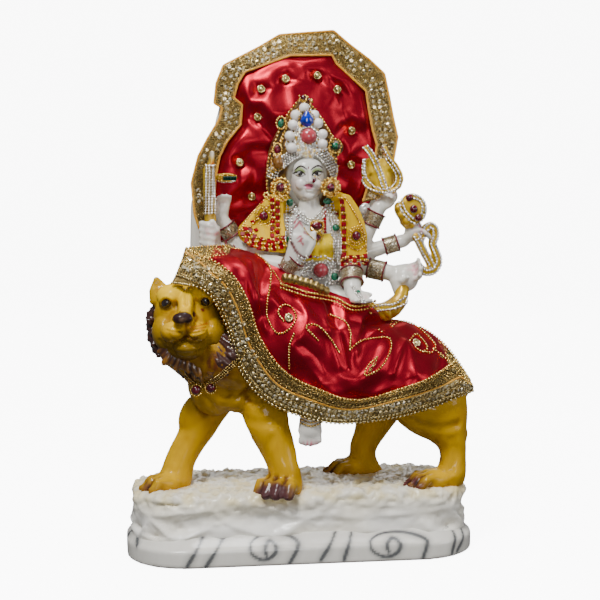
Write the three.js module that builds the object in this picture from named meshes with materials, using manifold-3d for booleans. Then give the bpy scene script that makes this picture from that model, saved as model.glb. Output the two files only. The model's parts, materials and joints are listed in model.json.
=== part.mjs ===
// A painted marble-dust figure of a many-armed goddess riding a walking lion, on a rock and plinth,
// dressed in red satin with gold lace, glued stones and pearls. Millimetres, +Z up, front towards -Y,
// the lion's head towards -X. The origin is the centre of the plinth's underside.
import * as THREE from "three";
import { mergeVertices } from "three/addons/utils/BufferGeometryUtils.js";
import Module from "manifold-3d";

const wasm = await Module();
wasm.setup();

// Plinth and rock
const plinthLength = 244;
const plinthDepth = 106;
const plinthCorner = 42;
const plinthSide = 13;
const plinthSlopeRise = 7;
const plinthSlopeRun = 10;
const rockLength = 234;
const rockDepth = 86;
const soleHeight = 46;

// Every height of the figure and its dress was drawn with the soles this far above the underside
const drawnSoleHeight = 46;

// Back plate, satin and lace
const backPlateFront = 24;
const backPlateThickness = 9;
const backdropLoft = 5;
const laceThickness = 2;
const clothThickness = 3;
const hemLaceWidth = 22;
const gap = 0.35;

// Stones and pearls
const pearlRadius = 3.1;
const studRadius = 3.1;
const studHeight = 2;

const vec = (p) => new THREE.Vector3(p[0], p[1], p[2]);
const mix = THREE.MathUtils.lerp;
const smooth = THREE.MathUtils.smoothstep;

// Turns a geometry into a solid, with its faces turned out
function solid(geometry) {
  const bare = geometry.clone();
  for (const name of ["normal", "uv"]) bare.deleteAttribute(name);
  const merged = mergeVertices(bare, 1e-4);
  const triVerts = new Uint32Array(merged.index.array);
  const vertProperties = new Float32Array(merged.attributes.position.array);
  const made = new wasm.Manifold(new wasm.Mesh({ numProp: 3, vertProperties, triVerts }));
  if (made.volume() > 0) return made;
  for (let i = 0; i < triVerts.length; i += 3)
    [triVerts[i + 1], triVerts[i + 2]] = [triVerts[i + 2], triVerts[i + 1]];
  return new wasm.Manifold(new wasm.Mesh({ numProp: 3, vertProperties, triVerts }));
}

// The main body alone: loose crumbs go, and hollows closed in on all sides are filled
const largest = (body) => body.decompose().sort((a, b) => b.volume() - a.volume())[0];

const join = (...solids) => solids.flat(3).reduce((a, b) => a.add(b));

function indexed(points, index) {
  const geometry = new THREE.BufferGeometry().setFromPoints(points);
  geometry.setIndex(index);
  return geometry;
}

const middle = (ring) =>
  ring.reduce((sum, p) => sum.add(p), new THREE.Vector3()).divideScalar(ring.length);

// A closed body through rings of equal length, each end closed by a fan
function loft(rings, firstTip = middle(rings[0]), lastTip = middle(rings.at(-1))) {
  const n = rings[0].length;
  const points = [...rings.flat(), firstTip, lastTip];
  const last = (rings.length - 1) * n;
  const index = [];
  for (let i = 0; i < n; i++) {
    const next = (i + 1) % n;
    for (let r = 0; r < last; r += n)
      index.push(r + i, r + next, r + n + next, r + i, r + n + next, r + n + i);
    index.push(points.length - 2, next, i, points.length - 1, last + i, last + next);
  }
  return solid(indexed(points, index));
}

// A round-ended limb through stations [x, y, z, half-width, half-depth]. The half-width is measured
// across both the limb and the reference direction.
function limb(stations, sides = 7, reference = [0, 1, 0]) {
  const centres = stations.map(vec);
  const frames = centres.map((c, i) => {
    const before = centres[Math.max(i - 1, 0)];
    const after = centres[Math.min(i + 1, centres.length - 1)];
    const along = after.clone().sub(before).normalize();
    const across = vec(reference).cross(along).normalize();
    return { along, across, deep: along.clone().cross(across) };
  });
  const ring = (i, shift, scale) =>
    Array.from({ length: sides }, (_, k) => {
      const angle = ((k + 0.5) / sides) * 2 * Math.PI;
      const [, , , wide, deep = wide] = stations[i];
      const { along, across, deep: depth } = frames[i];
      return centres[i].clone()
        .addScaledVector(along, shift)
        .addScaledVector(across, Math.cos(angle) * wide * scale)
        .addScaledVector(depth, Math.sin(angle) * deep * scale);
    });
  const last = stations.length - 1;
  const dome = (i) => Math.min(stations[i][3], stations[i][4] ?? stations[i][3]);
  const tip = (i, sign) => centres[i].clone().addScaledVector(frames[i].along, sign * dome(i) * 0.95);
  const body = stations.map((_, i) => ring(i, 0, 1));
  if (sides < 7) return loft(body, tip(0, -1), tip(last, 1));
  const rings = [ring(0, -dome(0) * 0.6, 0.78), ...body, ring(last, dome(last) * 0.6, 0.78)];
  return loft(rings, tip(0, -1), tip(last, 1));
}

// An ellipsoid, turned by Euler angles in degrees
function ball([x, y, z], [rx, ry, rz], around = 8, down = 6, turn = [0, 0, 0]) {
  const geometry = new THREE.SphereGeometry(1, around, down);
  geometry.rotateX(Math.PI / 2);
  geometry.scale(rx, ry, rz);
  const [a, b, c] = turn.map(THREE.MathUtils.degToRad);
  geometry.rotateX(a).rotateY(b).rotateZ(c);
  return solid(geometry.translate(x, y, z));
}

// A plate with an outline in the XZ plane, from y to y + depth
function plate(outline, y, depth) {
  const shape = new THREE.Shape(outline.map(([x, z]) => new THREE.Vector2(x, z)));
  const geometry = new THREE.ExtrudeGeometry(shape, { depth, bevelEnabled: false, curveSegments: 4 });
  return solid(geometry.rotateX(Math.PI / 2).translate(0, y + depth, 0));
}

// Folded noise from -1 to 1 for broken stone and crumpled cloth
const fold = (t) => Math.abs(2 * (t - Math.floor(t)) - 1) * 2 - 1;
const crumple = (x, z) =>
  0.5 * fold(x * 0.031 + z * 0.017 + 0.2 * Math.sin(z * 0.06)) +
  0.3 * fold(z * 0.043 - x * 0.029 + 0.15 * Math.sin(x * 0.08)) +
  0.2 * Math.sin(x * 0.13 + z * 0.11);

// Plinth and rock

// A rounded rectangle with the same number of points at every size
function roundedOutline(halfLength, halfDepth, corner, z) {
  const radius = Math.min(corner, halfLength, halfDepth);
  const cornerSteps = 4;
  const points = [];
  for (let quarter = 0; quarter < 4; quarter++) {
    const cx = (quarter === 0 || quarter === 3 ? 1 : -1) * (halfLength - radius);
    const cy = (quarter < 2 ? 1 : -1) * (halfDepth - radius);
    for (let i = 0; i <= cornerSteps; i++) {
      const angle = (quarter + i / cornerSteps) * (Math.PI / 2);
      points.push(new THREE.Vector3(cx + radius * Math.cos(angle), cy + radius * Math.sin(angle), z));
    }
    if (quarter % 2 === 0) {
      const sideSteps = 5;
      for (let i = 1; i < sideSteps; i++)
        points.push(new THREE.Vector3(mix(cx, -cx, i / sideSteps), points.at(-1).y, z));
    }
  }
  return points;
}

function plinth() {
  const edgeRound = 2;
  const profile = [
    [1.2, 0],
    [0, 1.2],
    [0, plinthSide - edgeRound],
    [edgeRound, plinthSide],
    [plinthSlopeRun, plinthSide + plinthSlopeRise],
    [plinthSlopeRun + 6, plinthSide + plinthSlopeRise + 1],
  ];
  return loft(profile.map(([inset, z]) =>
    roundedOutline(plinthLength / 2 - inset, plinthDepth / 2 - inset, plinthCorner - inset, z)));
}

function rock() {
  const foot = plinthSide + plinthSlopeRise / 2;
  const rise = soleHeight - foot;
  // inset from the rock's widest course, share of its height, roughness
  const courses = [
    [3, 0, 0],
    [5, 0.22, 1.2],
    [7, 0.42, 2.4],
    [2, 0.66, 2.6],
    [0, 0.86, 2.2],
    [4, 0.98, 1.2],
    [16, 1.0, 1.2],
  ];
  return loft(courses.map(([inset, share, roughness], course) => {
    return roundedOutline(rockLength / 2 - inset, rockDepth / 2 - inset, plinthCorner - 6 - inset,
      foot + rise * share).map((p, i) => {
      const broken = roughness * (0.7 * fold(i * 0.37 + course * 0.21) + 0.5 * Math.sin(i * 2.3 + course * 1.9));
      const out = new THREE.Vector3(p.x * 0.4, p.y, 0).normalize();
      return p.addScaledVector(out, -Math.abs(broken)).add(new THREE.Vector3(0, 0, broken * 0.5));
    });
  }));
}

// Angular slabs lying against the front and ends of the rock: [x, y, z, half-length, lean, turn]
function rockSlabs() {
  const slabs = [
    [-86, -32, 33, 26, 14, 24],
    [-45, -37, 31, 24, -16, -6],
    [2, -38, 29, 27, 10, 4],
    [44, -37, 31, 25, -12, -3],
    [86, -32, 33, 24, 12, -20],
    [-60, 33, 31, 30, 8, -4],
    [30, 34, 31, 32, -8, 3],
  ];
  const lift = soleHeight - drawnSoleHeight;
  return slabs.map(([x, y, z, half, lean, turn]) =>
    ball([x, y, z + lift], [half, 7, 8], 5, 4, [12, lean, turn]));
}

// Lion

function lionBody() {
  const trunk = limb([
    [113, 2, 110, 12, 13],
    [102, 2, 116, 21, 22],
    [84, 2, 124, 26, 27],
    [52, 2, 127, 26, 30],
    [20, 1, 127, 26, 30],
    [-8, 0, 130, 27, 32],
    [-34, -4, 136, 28, 38],
    [-56, -9, 140, 27, 38],
    [-70, -14, 142, 23, 32],
  ], 10, [0, 0, 1]);
  const chest = ball([-60, -17, 122], [20, 18, 24], 8, 5);
  const mane = ball([-76, -10, 160], [29, 25, 36], 10, 8);
  return [trunk, chest, mane];
}

function lionTail() {
  return limb([
    [108, 10, 126, 6],
    [119, 22, 120, 4.5],
    [112, 33, 110, 4],
    [92, 37, 106, 3.6],
    [76, 36, 112, 3.4],
    [66, 35, 120, 6],
    [56, 34, 124, 3],
  ], 7, [0, 0, 1]);
}

// A paw with four toes, its heading in degrees from -X towards -Y
function paw([x, y, z], length, width, heading) {
  const angle = THREE.MathUtils.degToRad(heading);
  const ahead = [-Math.cos(angle), -Math.sin(angle)];
  const toes = [-1.5, -0.5, 0.5, 1.5].map((step) => {
    const reach = length * (0.5 - 0.055 * step * step);
    const side = step * width * 0.24;
    const centre = [x + ahead[0] * reach + ahead[1] * side, y + ahead[1] * reach - ahead[0] * side, z + 3.6];
    return ball(centre, [length * 0.19, width * 0.17, 6], 5, 3, [0, 0, heading]);
  });
  return [ball([x, y, z + 5], [length * 0.52, width * 0.5, 8], 7, 4, [0, 0, heading]), ...toes];
}

function lionLegs() {
  const nearFront = limb([
    [-30, -16, 128, 19, 13],
    [-28, -22, 108, 17, 13],
    [-25, -26, 92, 15, 12],
    [-18, -28, 74, 12, 11],
    [-14, -30, 60, 11, 11],
    [-13, -30, 48, 12, 12],
  ]);
  const farFront = limb([
    [-52, 6, 124, 20, 14],
    [-62, 2, 104, 15, 13],
    [-72, -2, 86, 12, 11],
    [-83, -5, 68, 10.5, 10],
    [-88, -6, 52, 12, 11],
  ]);
  const nearHind = limb([
    [84, -14, 124, 24, 14],
    [90, -20, 104, 27, 16],
    [96, -22, 91, 22, 14],
    [105, -22, 78, 12, 11],
    [107, -22, 68, 10, 10],
    [105, -23, 52, 12, 11],
  ]);
  const farHind = limb([
    [70, 16, 112, 22, 13],
    [62, 18, 92, 16, 12],
    [54, 19, 74, 11, 10],
    [50, 20, 62, 10, 10],
    [54, 20, 50, 12, 10],
  ]);
  return [
    nearFront, farFront, nearHind, farHind,
    paw([-22, -34, soleAt], 36, 23, 18),
    paw([-94, -12, soleAt - 1], 31, 23, 14),
    paw([94, -26, soleAt - 1], 40, 23, 16),
    paw([44, 19, soleAt], 38, 21, 4),
  ];
}
const soleAt = drawnSoleHeight;

const lionFace = [-80, 165];

function lionHead() {
  const skull = ball([-80, -26, 169], [24, 20, 22], 10, 8);
  const cheeks = [-95.5, -65].map((x) => ball([x, -34, 160], [10, 11, 13], 6, 5));
  const brows = [-90.5, -70.5].map((x) => ball([x, -36, 183.5], [11.5, 9, 7], 6, 4));
  const bridge = limb([[-81, -38, 181, 8, 6], [-83, -50, 175, 6.5, 5], [-84.5, -57, 170, 6, 4]], 7);
  const pads = [-90, -76].map((x) => ball([x, -52, 161], [9, 9, 7.5], 6, 5));
  const nose = ball([-85, -60, 171], [6.5, 4, 4], 6, 4);
  const chin = ball([-82, -50, 152], [9, 8, 5], 7, 5);
  const eyes = [-95.3, -69.5].map((x) => ball([x, -44, 179], [3.8, 3.4, 3.8], 6, 4));
  const ears = [[-97, -12], [-63, 12]].map(([x, lean]) =>
    ball([x, -27, 186], [6, 4.5, 10], 5, 4, [0, lean, 0]));
  return [skull, cheeks, brows, bridge, pads, nose, chin, eyes, ears];
}

// Two rows of pointed locks hanging round the lion's jaw
function lionRuff() {
  const [faceX, faceZ] = lionFace;
  const rows = [
    { count: 9, from: 168, to: 338, root: 19, tip: 27.5, y: -22 },
    { count: 6, from: 205, to: 320, root: 16, tip: 28, y: -34 },
  ];
  return rows.map(({ count, from, to, root, tip, y }) =>
    Array.from({ length: count }, (_, i) => {
      const angle = THREE.MathUtils.degToRad(mix(from, to, i / (count - 1)));
      const at = (radius, bow) => [
        faceX + radius * Math.cos(angle + bow),
        y,
        faceZ + 1.08 * radius * Math.sin(angle + bow),
      ];
      const middleRadius = (root + tip) / 2;
      return limb([[...at(root, 0), 6, 7], [...at(middleRadius, 0.06), 5, 6], [...at(tip, -0.05), 1.2, 1.6]], 4);
    }));
}

// Goddess

function torso() {
  return [
    limb([
      [14, -2, 172, 22, 16],
      [13, -5, 186, 17, 13],
      [12, -6, 198, 14, 10.5],
      [10, -6, 212, 15, 11.5],
      [8, -6, 224, 17, 11.5],
      [7, -5, 233, 19, 9.5],
      [7, -5, 239, 9, 7.5],
      [6.5, -5, 247, 7.5, 7.5],
    ], 12, [0, 1, 0]),
  ];
}

const headCentre = [5, -4, 262];

function head() {
  const [x, y, z] = headCentre;
  return [
    ball(headCentre, [13, 13.5, 17], 10, 8),
    limb([[x, y - 11, z + 6, 2, 2], [x, y - 15, z - 2.5, 2.4, 2.4]], 5),
    ball([x, y - 11.5, z - 8.5], [4, 2.4, 1.8], 6, 4),
    ball([x, y - 9, z - 13.5], [5, 4.5, 4], 6, 4),
  ];
}

// The hood of crown and veil, open in front of the face
function crownAndVeil() {
  const hood = limb([
    [2, 4, 240, 20, 9],
    [2, 4, 252, 23, 12],
    [2.5, 3, 268, 25, 15],
    [3.5, 1, 284, 23, 15],
    [3.5, 1, 297, 16.5, 13],
    [3.5, 2, 308, 9.5, 9],
    [3.5, 2, 316, 4, 4],
  ], 12, [0, 1, 0]);
  const faceOpening = ball([5, -18, 259], [14.5, 17, 19], 10, 8);
  const brooch = ball([3, -2, 317], [6, 5, 3.5], 6, 4);
  const sideBosses = [[26.5, -2, 283, 4.6]].map(([x, y, z, r]) => ball([x, y, z], [r, 5, r * 1.4], 6, 5));
  return [hood.subtract(faceOpening), brooch, sideBosses];
}

// The yellow shawl that hangs over both shoulders, as outlines seen from the front
const shawlLeft = [[-13, 247], [-20, 251], [-43, 228], [-42, 219], [-30, 213], [-12, 211]];
const shawlRight = [[27, 250], [32, 251], [41, 238], [45.5, 222], [45.5, 205], [28, 206]];
const shawlFront = -20;
const shawlDepth = 16;

function shawl() {
  return [shawlLeft, shawlRight].map((outline) => plate(outline, shawlFront, shawlDepth));
}

function lap() {
  const foldedThigh = limb([[10, -4, 182, 17, 15], [-16, -14, 188, 16, 14], [-44, -20, 195, 13, 12], [-54, -20, 196, 10, 10]], 7);
  const foldedShin = limb([[-50, -24, 190, 10, 10], [-24, -32, 180, 10, 9], [2, -32, 176, 8, 8]], 6);
  const hangingThigh = limb([[18, -4, 176, 17, 15], [28, -18, 170, 13, 12], [29, -29, 160, 10, 10]], 7, [1, 0, 0]);
  const shin = limb([[29, -31, 158, 9, 9], [22, -37, 142, 8.5, 8.5], [10, -40, 120, 7.5, 7.5], [3, -41, 102, 6.5, 6.5]], 7);
  return [foldedThigh, foldedShin, hangingThigh, shin];
}

const footTop = [1, -43, 101];

function foot() {
  const [x, y, z] = footTop;
  const toes = [0, 1, 2, 3, 4].map((i) => {
    const length = 4.2 - 0.45 * i;
    return ball([x + 6 - i * 3, y - 3, z - 15 + i * 0.9], [1.9 - 0.12 * i, 2.6, length], 5, 4);
  });
  return [limb([[x, y, z + 6, 6.5, 7], [x + 0.5, y - 1, z - 6, 8, 6], [x + 0.5, y - 2.5, z - 12, 8, 4]], 6), ...toes];
}

// Arms as [shoulder, elbow, wrist] with the wrist's radius last
const arms = {
  sword: [[-16, 2, 228, 8], [-42, 2, 205, 7], [-60, -5, 214, 5.5]],
  discus: [[-16, 4, 230, 8], [-40, 4, 213, 6.5], [-55, 3, 236, 5]],
  blessing: [[-14, -8, 230, 8.5], [-38, -16, 205, 8], [-9, -32, 201.5, 6]],
  trident: [[24, 2, 226, 8], [43, 4, 210, 6.5], [58, 1, 242, 5.2]],
  conch: [[24, 4, 222, 8], [46, 5, 208, 6], [76, 1, 217.5, 4.8]],
  club: [[24, 4, 216, 8], [42, 5, 200, 6.5], [66, -3, 194.5, 5.8]],
  lap: [[24, -6, 226, 8.5], [35, -12, 203, 7.6], [34, -26, 185.5, 6]],
};

const cuffLength = 12;
const cuffGrow = 1.3;
const cuffToWrist = 5;

// Each arm with its raised glitter cuff round the forearm
function armSolids() {
  return Object.values(arms).map(([shoulder, elbow, wrist]) => {
    const bend = elbow.map((v, i) => (i < 3 ? v * 0.92 + 0.04 * (shoulder[i] + wrist[i]) : v));
    const reach = vec(bend).distanceTo(vec(wrist));
    const at = (toWrist, grow) => bend.map((v, i) => mix(wrist[i], v, toWrist / reach) + (i < 3 ? 0 : grow));
    const far = cuffToWrist + cuffLength;
    const cuff = [at(far, 0), at(far - 0.8, cuffGrow), at(cuffToWrist + 0.8, cuffGrow), at(cuffToWrist, 0)];
    return limb([shoulder, bend, ...cuff, wrist], 6);
  });
}

// A closed hand: a palm and four curled fingers stacked along `up`
function fist(centre, size, up = [0, 0, 1]) {
  const c = vec(centre);
  const axis = vec(up).normalize();
  const fingers = [-1.5, -0.5, 0.5, 1.5].map((step) => {
    const at = c.clone().addScaledVector(axis, step * size * 0.42);
    return limb([
      [at.x - size * 0.45, at.y - size * 0.35, at.z, size * 0.24],
      [at.x + size * 0.45, at.y - size * 0.4, at.z, size * 0.24],
    ], 5, [0, 0, 1]);
  });
  return [ball(centre, [size * 0.75, size * 0.55, size * 0.95], 6, 4), ...fingers];
}

// An open hand pointing along `ahead`: palm, four fingers and a thumb, lying in the plane of `across`
function openHand(wrist, ahead, across, length, width, thumbSide) {
  const from = vec(wrist);
  const a = vec(ahead).normalize();
  const s = vec(across).normalize();
  const at = (along, side, ...radii) => [
    ...from.clone().addScaledVector(a, along * length).addScaledVector(s, side * width).toArray(),
    ...radii,
  ];
  const fingers = [-1.5, -0.5, 0.5, 1.5].map((step) => {
    const reach = 1 - 0.05 * step * step;
    return limb([at(0.5, step * 0.24, width * 0.13), at(reach * 0.97, step * 0.22, width * 0.1)], 4);
  });
  const palm = limb([at(0.02, 0, width * 0.34, width * 0.22), at(0.3, 0, width * 0.5, width * 0.26),
    at(0.52, 0, width * 0.48, width * 0.2)], 6);
  const thumb = limb([at(0.2, thumbSide * 0.35, width * 0.17), at(0.55, thumbSide * 0.68, width * 0.13)], 4);
  return [palm, ...fingers, thumb];
}

function hands() {
  return [
    fist([-62.5, -8, 224], 9),
    limb([[-53.5, 3, 235, 5, 4.5], [-53, 3, 245, 5.5, 4.5], [-52, 3, 253, 2.6, 2.6], [-51, 3, 259, 2.2, 2.2]], 6),
    openHand([-6, -35, 205], [0.02, 0.05, 1], [1, 0, 0], 39, 13, 1),
    fist([63.5, -1, 248], 8),
    fist([82, -2, 224.5], 8, [0.5, 0, 1]),
    fist([76, -6, 191], 10.5, [0.6, 0, -0.4]),
    openHand([34, -27, 184], [0.1, -0.65, -0.4], [1, 0, 0], 24, 14, -1),
  ];
}

// Things held

function sword() {
  return [
    limb([[-62.5, -9, 232, 3.5, 2], [-63, -9, 250, 3.8, 2], [-63.5, -8, 268, 3.4, 2], [-64, -8, 276, 1, 1]], 6),
    limb([[-62, -8, 212, 2.2], [-62, -8, 219, 2]], 6),
  ];
}

function discus() {
  const disc = new THREE.CylinderGeometry(8, 8, 4.5, 12);
  disc.rotateX(Math.PI / 2).rotateY(0.08);
  return [solid(disc.translate(-50, 2, 262))];
}

// The three-pronged head: a cup of curved blades round a middle spike
function trident() {
  const bladeY = -5;
  const left = limb([[60, bladeY, 251, 3, 2.2], [50, bladeY, 254.5, 3.2, 2.2], [45.5, bladeY, 263, 3.2, 2.2], [46, bladeY, 273, 2.4, 2]], 6);
  const right = limb([[60, bladeY, 251, 3, 2.2], [69.5, bladeY, 255, 3.6, 2.2], [71.8, bladeY, 263, 3.6, 2.2],
    [64, bladeY, 275, 3, 2], [60, bladeY, 284, 2, 1.8]], 6);
  const spike = limb([[60, bladeY, 253, 3, 2.2], [57, bladeY, 264.5, 3.6, 2.4], [52, bladeY, 276.5, 3, 2], [46.5, bladeY, 284, 1, 1]], 6);
  const backing = plate([[47.3, 258.2], [52.2, 253.4], [64.1, 253.3], [69.6, 257.2], [70.1, 263.1], [61.8, 274.6], [52.3, 273.7], [47.4, 270.1]], bladeY - 0.6, 2.1);
  return [left, right, spike, backing];
}

// A lotus bowl on the hand, with a row of small balls below it
function conch() {
  return [
    limb([[74, -3, 234, 3, 3], [77.5, -4.5, 237, 8, 4.5], [84, -5.5, 243, 8, 5], [87, -5.5, 246, 3, 3]], 8),
    limb([[76, -3, 232, 5, 4], [80, -2, 227, 4, 3.5], [82, -2, 223, 3, 3]], 6),
    limb([[70.3, -5.7, 240.7, 2.4, 2.4], [73.1, -6.2, 234.3, 2.7, 2.7], [79.3, -5.8, 228.4, 2.3, 2.3]], 6),
  ];
}

function bow() {
  return [limb([
    [86, -4, 219, 2.2, 2.2],
    [90.5, -4, 226.5, 2.6, 2.4],
    [95.6, -4, 225.5, 2.8, 2.4],
    [95, -4, 215.2, 3, 2.4],
    [98.8, -4, 204, 3, 2.6],
    [95, -4.5, 196, 3, 2.4],
    [84, -7, 199, 2.4, 2.2],
  ], 6)];
}

function club() {
  return [
    limb([[73, -9, 184, 4.8, 4.8], [69, -13, 175, 6, 6], [61, -18, 169.5, 6.8, 6.6], [52.5, -23.5, 170, 5.6, 5.4], [45.8, -28, 174, 2.6, 2.6]], 7),
  ];
}

// Back plate: an arch, fused to the lion's back, straight on the left and drawn in on the right
const backPlateOutline = [
  [-48, 132], [-66, 160], [-74, 190], [-74.5, 214], [-73.5, 242], [-70, 262], [-60, 285], [-53, 312], [-47, 334], [-28, 349], [-8, 359], [26, 362],
  [46, 350], [64, 329], [68, 305], [71, 284], [67, 262], [56, 232], [50, 200], [46, 165], [40, 132],
];
// The cast web that carries the plate between the lion's back and the figure's hips
const plateWeb = [[4, 15, 178], [30, 15, 27]];


function backPlate() {
  return [plate(backPlateOutline, backPlateFront, backPlateThickness), ball(...plateWeb)];
}

const rise = soleHeight - drawnSoleHeight;

function statue() {
  const figure = join(
    lionBody(), lionTail(), lionLegs(), lionHead(), lionRuff(),
    torso(), head(), crownAndVeil(), shawl(), lap(), foot(),
    armSolids(), hands(),
    sword(), discus(), trident(), conch(), bow(), club(), backPlate(),
  );
  return largest(join(plinth(), rock(), rockSlabs(), figure.translate([0, 0, rise])));
}

// Red backdrop and its lace

// Lace edges as pairs of outer and inner corners, from the lower left over the top to the lower right
const backdropLace = [
  [[-66, 219], [-57, 219]],
  [[-72, 236], [-58, 236]],
  [[-74, 258], [-56, 262]],
  [[-69, 277], [-53, 277]],
  [[-62, 290], [-48, 287]],
  [[-54, 303], [-38, 299]],
  [[-52, 311], [-37, 313]],
  [[-57.5, 314], [-43, 318]],
  [[-56, 328], [-40, 328]],
  [[-51, 340.5], [-35, 336]],
  [[-25, 354], [-21, 341]],
  [[-11, 362.5], [-3, 347.5]],
  [[28, 366], [27, 348]],
  [[39, 357], [30, 342]],
  [[54, 346], [41, 332]],
  [[65, 336], [51, 323]],
  [[69, 319], [53, 311]],
  [[72, 304], [56, 296]],
  [[75, 291], [59, 285]],
  [[71.5, 271], [57, 268]],
  [[64, 247], [49, 244]],
];

function backdropLaceBand() {
  const outline = [...backdropLace.map(([outer]) => outer), ...backdropLace.map(([, inner]) => inner).reverse()];
  return plate(outline, backPlateFront - gap - laceThickness, laceThickness);
}

// The satin's front surface, puffed and crumpled between the lace's inner edges
const backdropCentre = [4, 272];
const backdropPuff = (x, z, share) =>
  backPlateFront - gap - 1.2 - backdropLoft * (1 - share ** 3) * (0.55 + 0.45 * crumple(x * 1.6, z * 1.6));

function backdropSatin() {
  const sills = [[44, 228], [20, 222], [-10, 218], [-34, 214], [-50, 214]];
  const edge = [...backdropLace.map(([, inner]) => inner), ...sills];
  const [cx, cz] = backdropCentre;
  const shares = [1, 0.8, 0.55, 0.28];
  const shrink = 1 - gap / 30;
  const at = (corner, share, y) => {
    const x = mix(cx, corner[0], share * shrink);
    const z = mix(cz, corner[1], share * shrink);
    return new THREE.Vector3(x, y ?? backdropPuff(x, z, share), z);
  };
  const back = backPlateFront - gap;
  const rings = [edge.map((p) => at(p, 0.5, back)), edge.map((p) => at(p, 1, back)),
    ...shares.map((share) => edge.map((p) => at(p, share)))];
  return loft(rings);
}

// Draped skirt cloth, as a surface from its top edge to its hem

const curve = (points) => new THREE.CatmullRomCurve3(points.map(vec), false, "centripetal");
const topEdge = curve([
  [-80, -14, 214], [-52, -12, 214], [-32, -18, 206], [-10, -32, 190], [14, -42, 182], [40, -38, 176],
  [60, -20, 166], [78, -8, 160], [92, -6, 153], [103, -8, 143.5], [110.5, -12, 133], [118.5, -19, 118.5],
]);
const hemEdge = curve([
  [-92, -42, 191], [-70, -52, 188], [-56, -48, 166], [-48, -44, 138], [-32, -46, 115], [-8, -50, 103],
  [20, -52, 97], [53, -50, 99], [80, -44, 103], [104, -36, 109.5], [119, -27, 113],
]);
// How far forward the cloth swells between its edges
const swell = new THREE.SplineCurve([0, 4, 12, 14, 14, 12, 8, 6, 3, 1, 0].map((d, i) => new THREE.Vector2(i / 10, d)));

function skirtPoint(u, v) {
  const top = topEdge.getPoint(u);
  const hem = hemEdge.getPoint(u);
  const forward = Math.sin((Math.min(v / 0.55, 1) * Math.PI) / 2);
  const fall = Math.sin(Math.min(v, 1) * Math.PI);
  const folds = 1.6 * Math.sin(v * Math.PI) * Math.sin(u * 34 + v * 3) * smooth(u, 0.2, 0.35) * (1 - smooth(u, 0.85, 1));
  return new THREE.Vector3(
    mix(top.x, hem.x, v),
    mix(top.y, hem.y, forward) - swell.getPoint(u).y * fall - folds,
    mix(top.z, hem.z, v),
  );
}

function skirtOut(u, v) {
  const step = 1e-3;
  const du = skirtPoint(Math.min(u + step, 1), v).sub(skirtPoint(Math.max(u - step, 0), v));
  const dv = skirtPoint(u, Math.min(v + step, 1)).sub(skirtPoint(u, Math.max(v - step, 0)));
  return dv.cross(du).normalize();
}

const columnLength = (u) => topEdge.getPoint(u).distanceTo(hemEdge.getPoint(u));
const laceStart = (u) => Math.max(0.04, 1 - hemLaceWidth / columnLength(u));

// A sheet of the skirt's surface between two offsets, as a closed body. `rows` gives v for each row.
function skirtSheet(columns, rows, low, high) {
  const grid = (offset) => columns.map((u) => rows.map((row) => {
    const v = row(u);
    return skirtPoint(u, v).addScaledVector(skirtOut(u, v), offset);
  }));
  const across = rows.length;
  const points = [...grid(high).flat(), ...grid(low).flat()];
  const lower = columns.length * across;
  const index = [];
  const quad = (a, b, c, d) => index.push(a, b, c, a, c, d);
  for (let i = 0; i + 1 < columns.length; i++)
    for (let j = 0; j + 1 < across; j++) {
      const a = i * across + j;
      quad(a, a + across, a + across + 1, a + 1);
      quad(lower + a, lower + a + 1, lower + a + across + 1, lower + a + across);
    }
  for (let i = 0; i + 1 < columns.length; i++)
    for (const j of [0, across - 1]) {
      const a = i * across + j;
      if (j === 0) quad(a, lower + a, lower + a + across, a + across);
      else quad(a, a + across, lower + a + across, lower + a);
    }
  for (let j = 0; j + 1 < across; j++)
    for (const i of [0, columns.length - 1]) {
      const a = i * across + j;
      if (i === 0) quad(a, a + 1, lower + a + 1, lower + a);
      else quad(a, lower + a, lower + a + 1, a + 1);
    }
  return solid(indexed(points, index));
}

const skirtColumns = Array.from({ length: 23 }, (_, i) => i / 22);
const satinRows = [0, 0.2, 0.45, 0.72].map((share) => (u) => share * laceStart(u));
const hemRows = [0, 1].map((share) => (u) => mix(laceStart(u), 1, share));

// A glued piece with room for its glue: what is left of it clear of the base shifted every way
const shifts = [[0, -1, 0], [0, 1, 0], [1, 0, 0], [-1, 0, 0], [0, 0, 1], [0, 0, -1]];
const clearOf = (piece, base) =>
  largest(shifts.reduce((left, d) => left.subtract(base.translate(d.map((v) => v * gap))), piece));

// Glued stones

function cabochon(centre, radius, height, around = 8) {
  return ball(centre, [radius, height, radius], around, 4);
}

function stud([x, y, z], radius, height) {
  const geometry = new THREE.CylinderGeometry(radius * 0.8, radius, height, 8);
  return solid(geometry.rotateX(Math.PI / 2).translate(x, y - height / 2, z));
}

const crownStones = [
  ["crown_pearl_top", [2.7, -8.5, 310], pearlRadius],
  ["crown_pearl_left_1", [-3.5, -10, 304.5], pearlRadius],
  ["crown_pearl_right_1", [10.2, -10, 304.5], pearlRadius],
  ["crown_pearl_left_2", [-5.7, -12.5, 297.5], pearlRadius],
  ["crown_pearl_right_2", [13, -12, 298.5], pearlRadius],
  ["crown_pearl_left_3", [-8, -13.5, 289.8], pearlRadius],
  ["crown_pearl_right_3", [16, -13, 290.8], pearlRadius],
  ["crown_pearl_left_4", [-7, -14, 281.8], pearlRadius],
  ["crown_pearl_right_4", [15.8, -14, 284], pearlRadius],
  ["crown_blue_stone", [3.2, -12.6, 302], 3.9],
  ["crown_coral", [4.4, -14.5, 290.5], 5],
];

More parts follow.
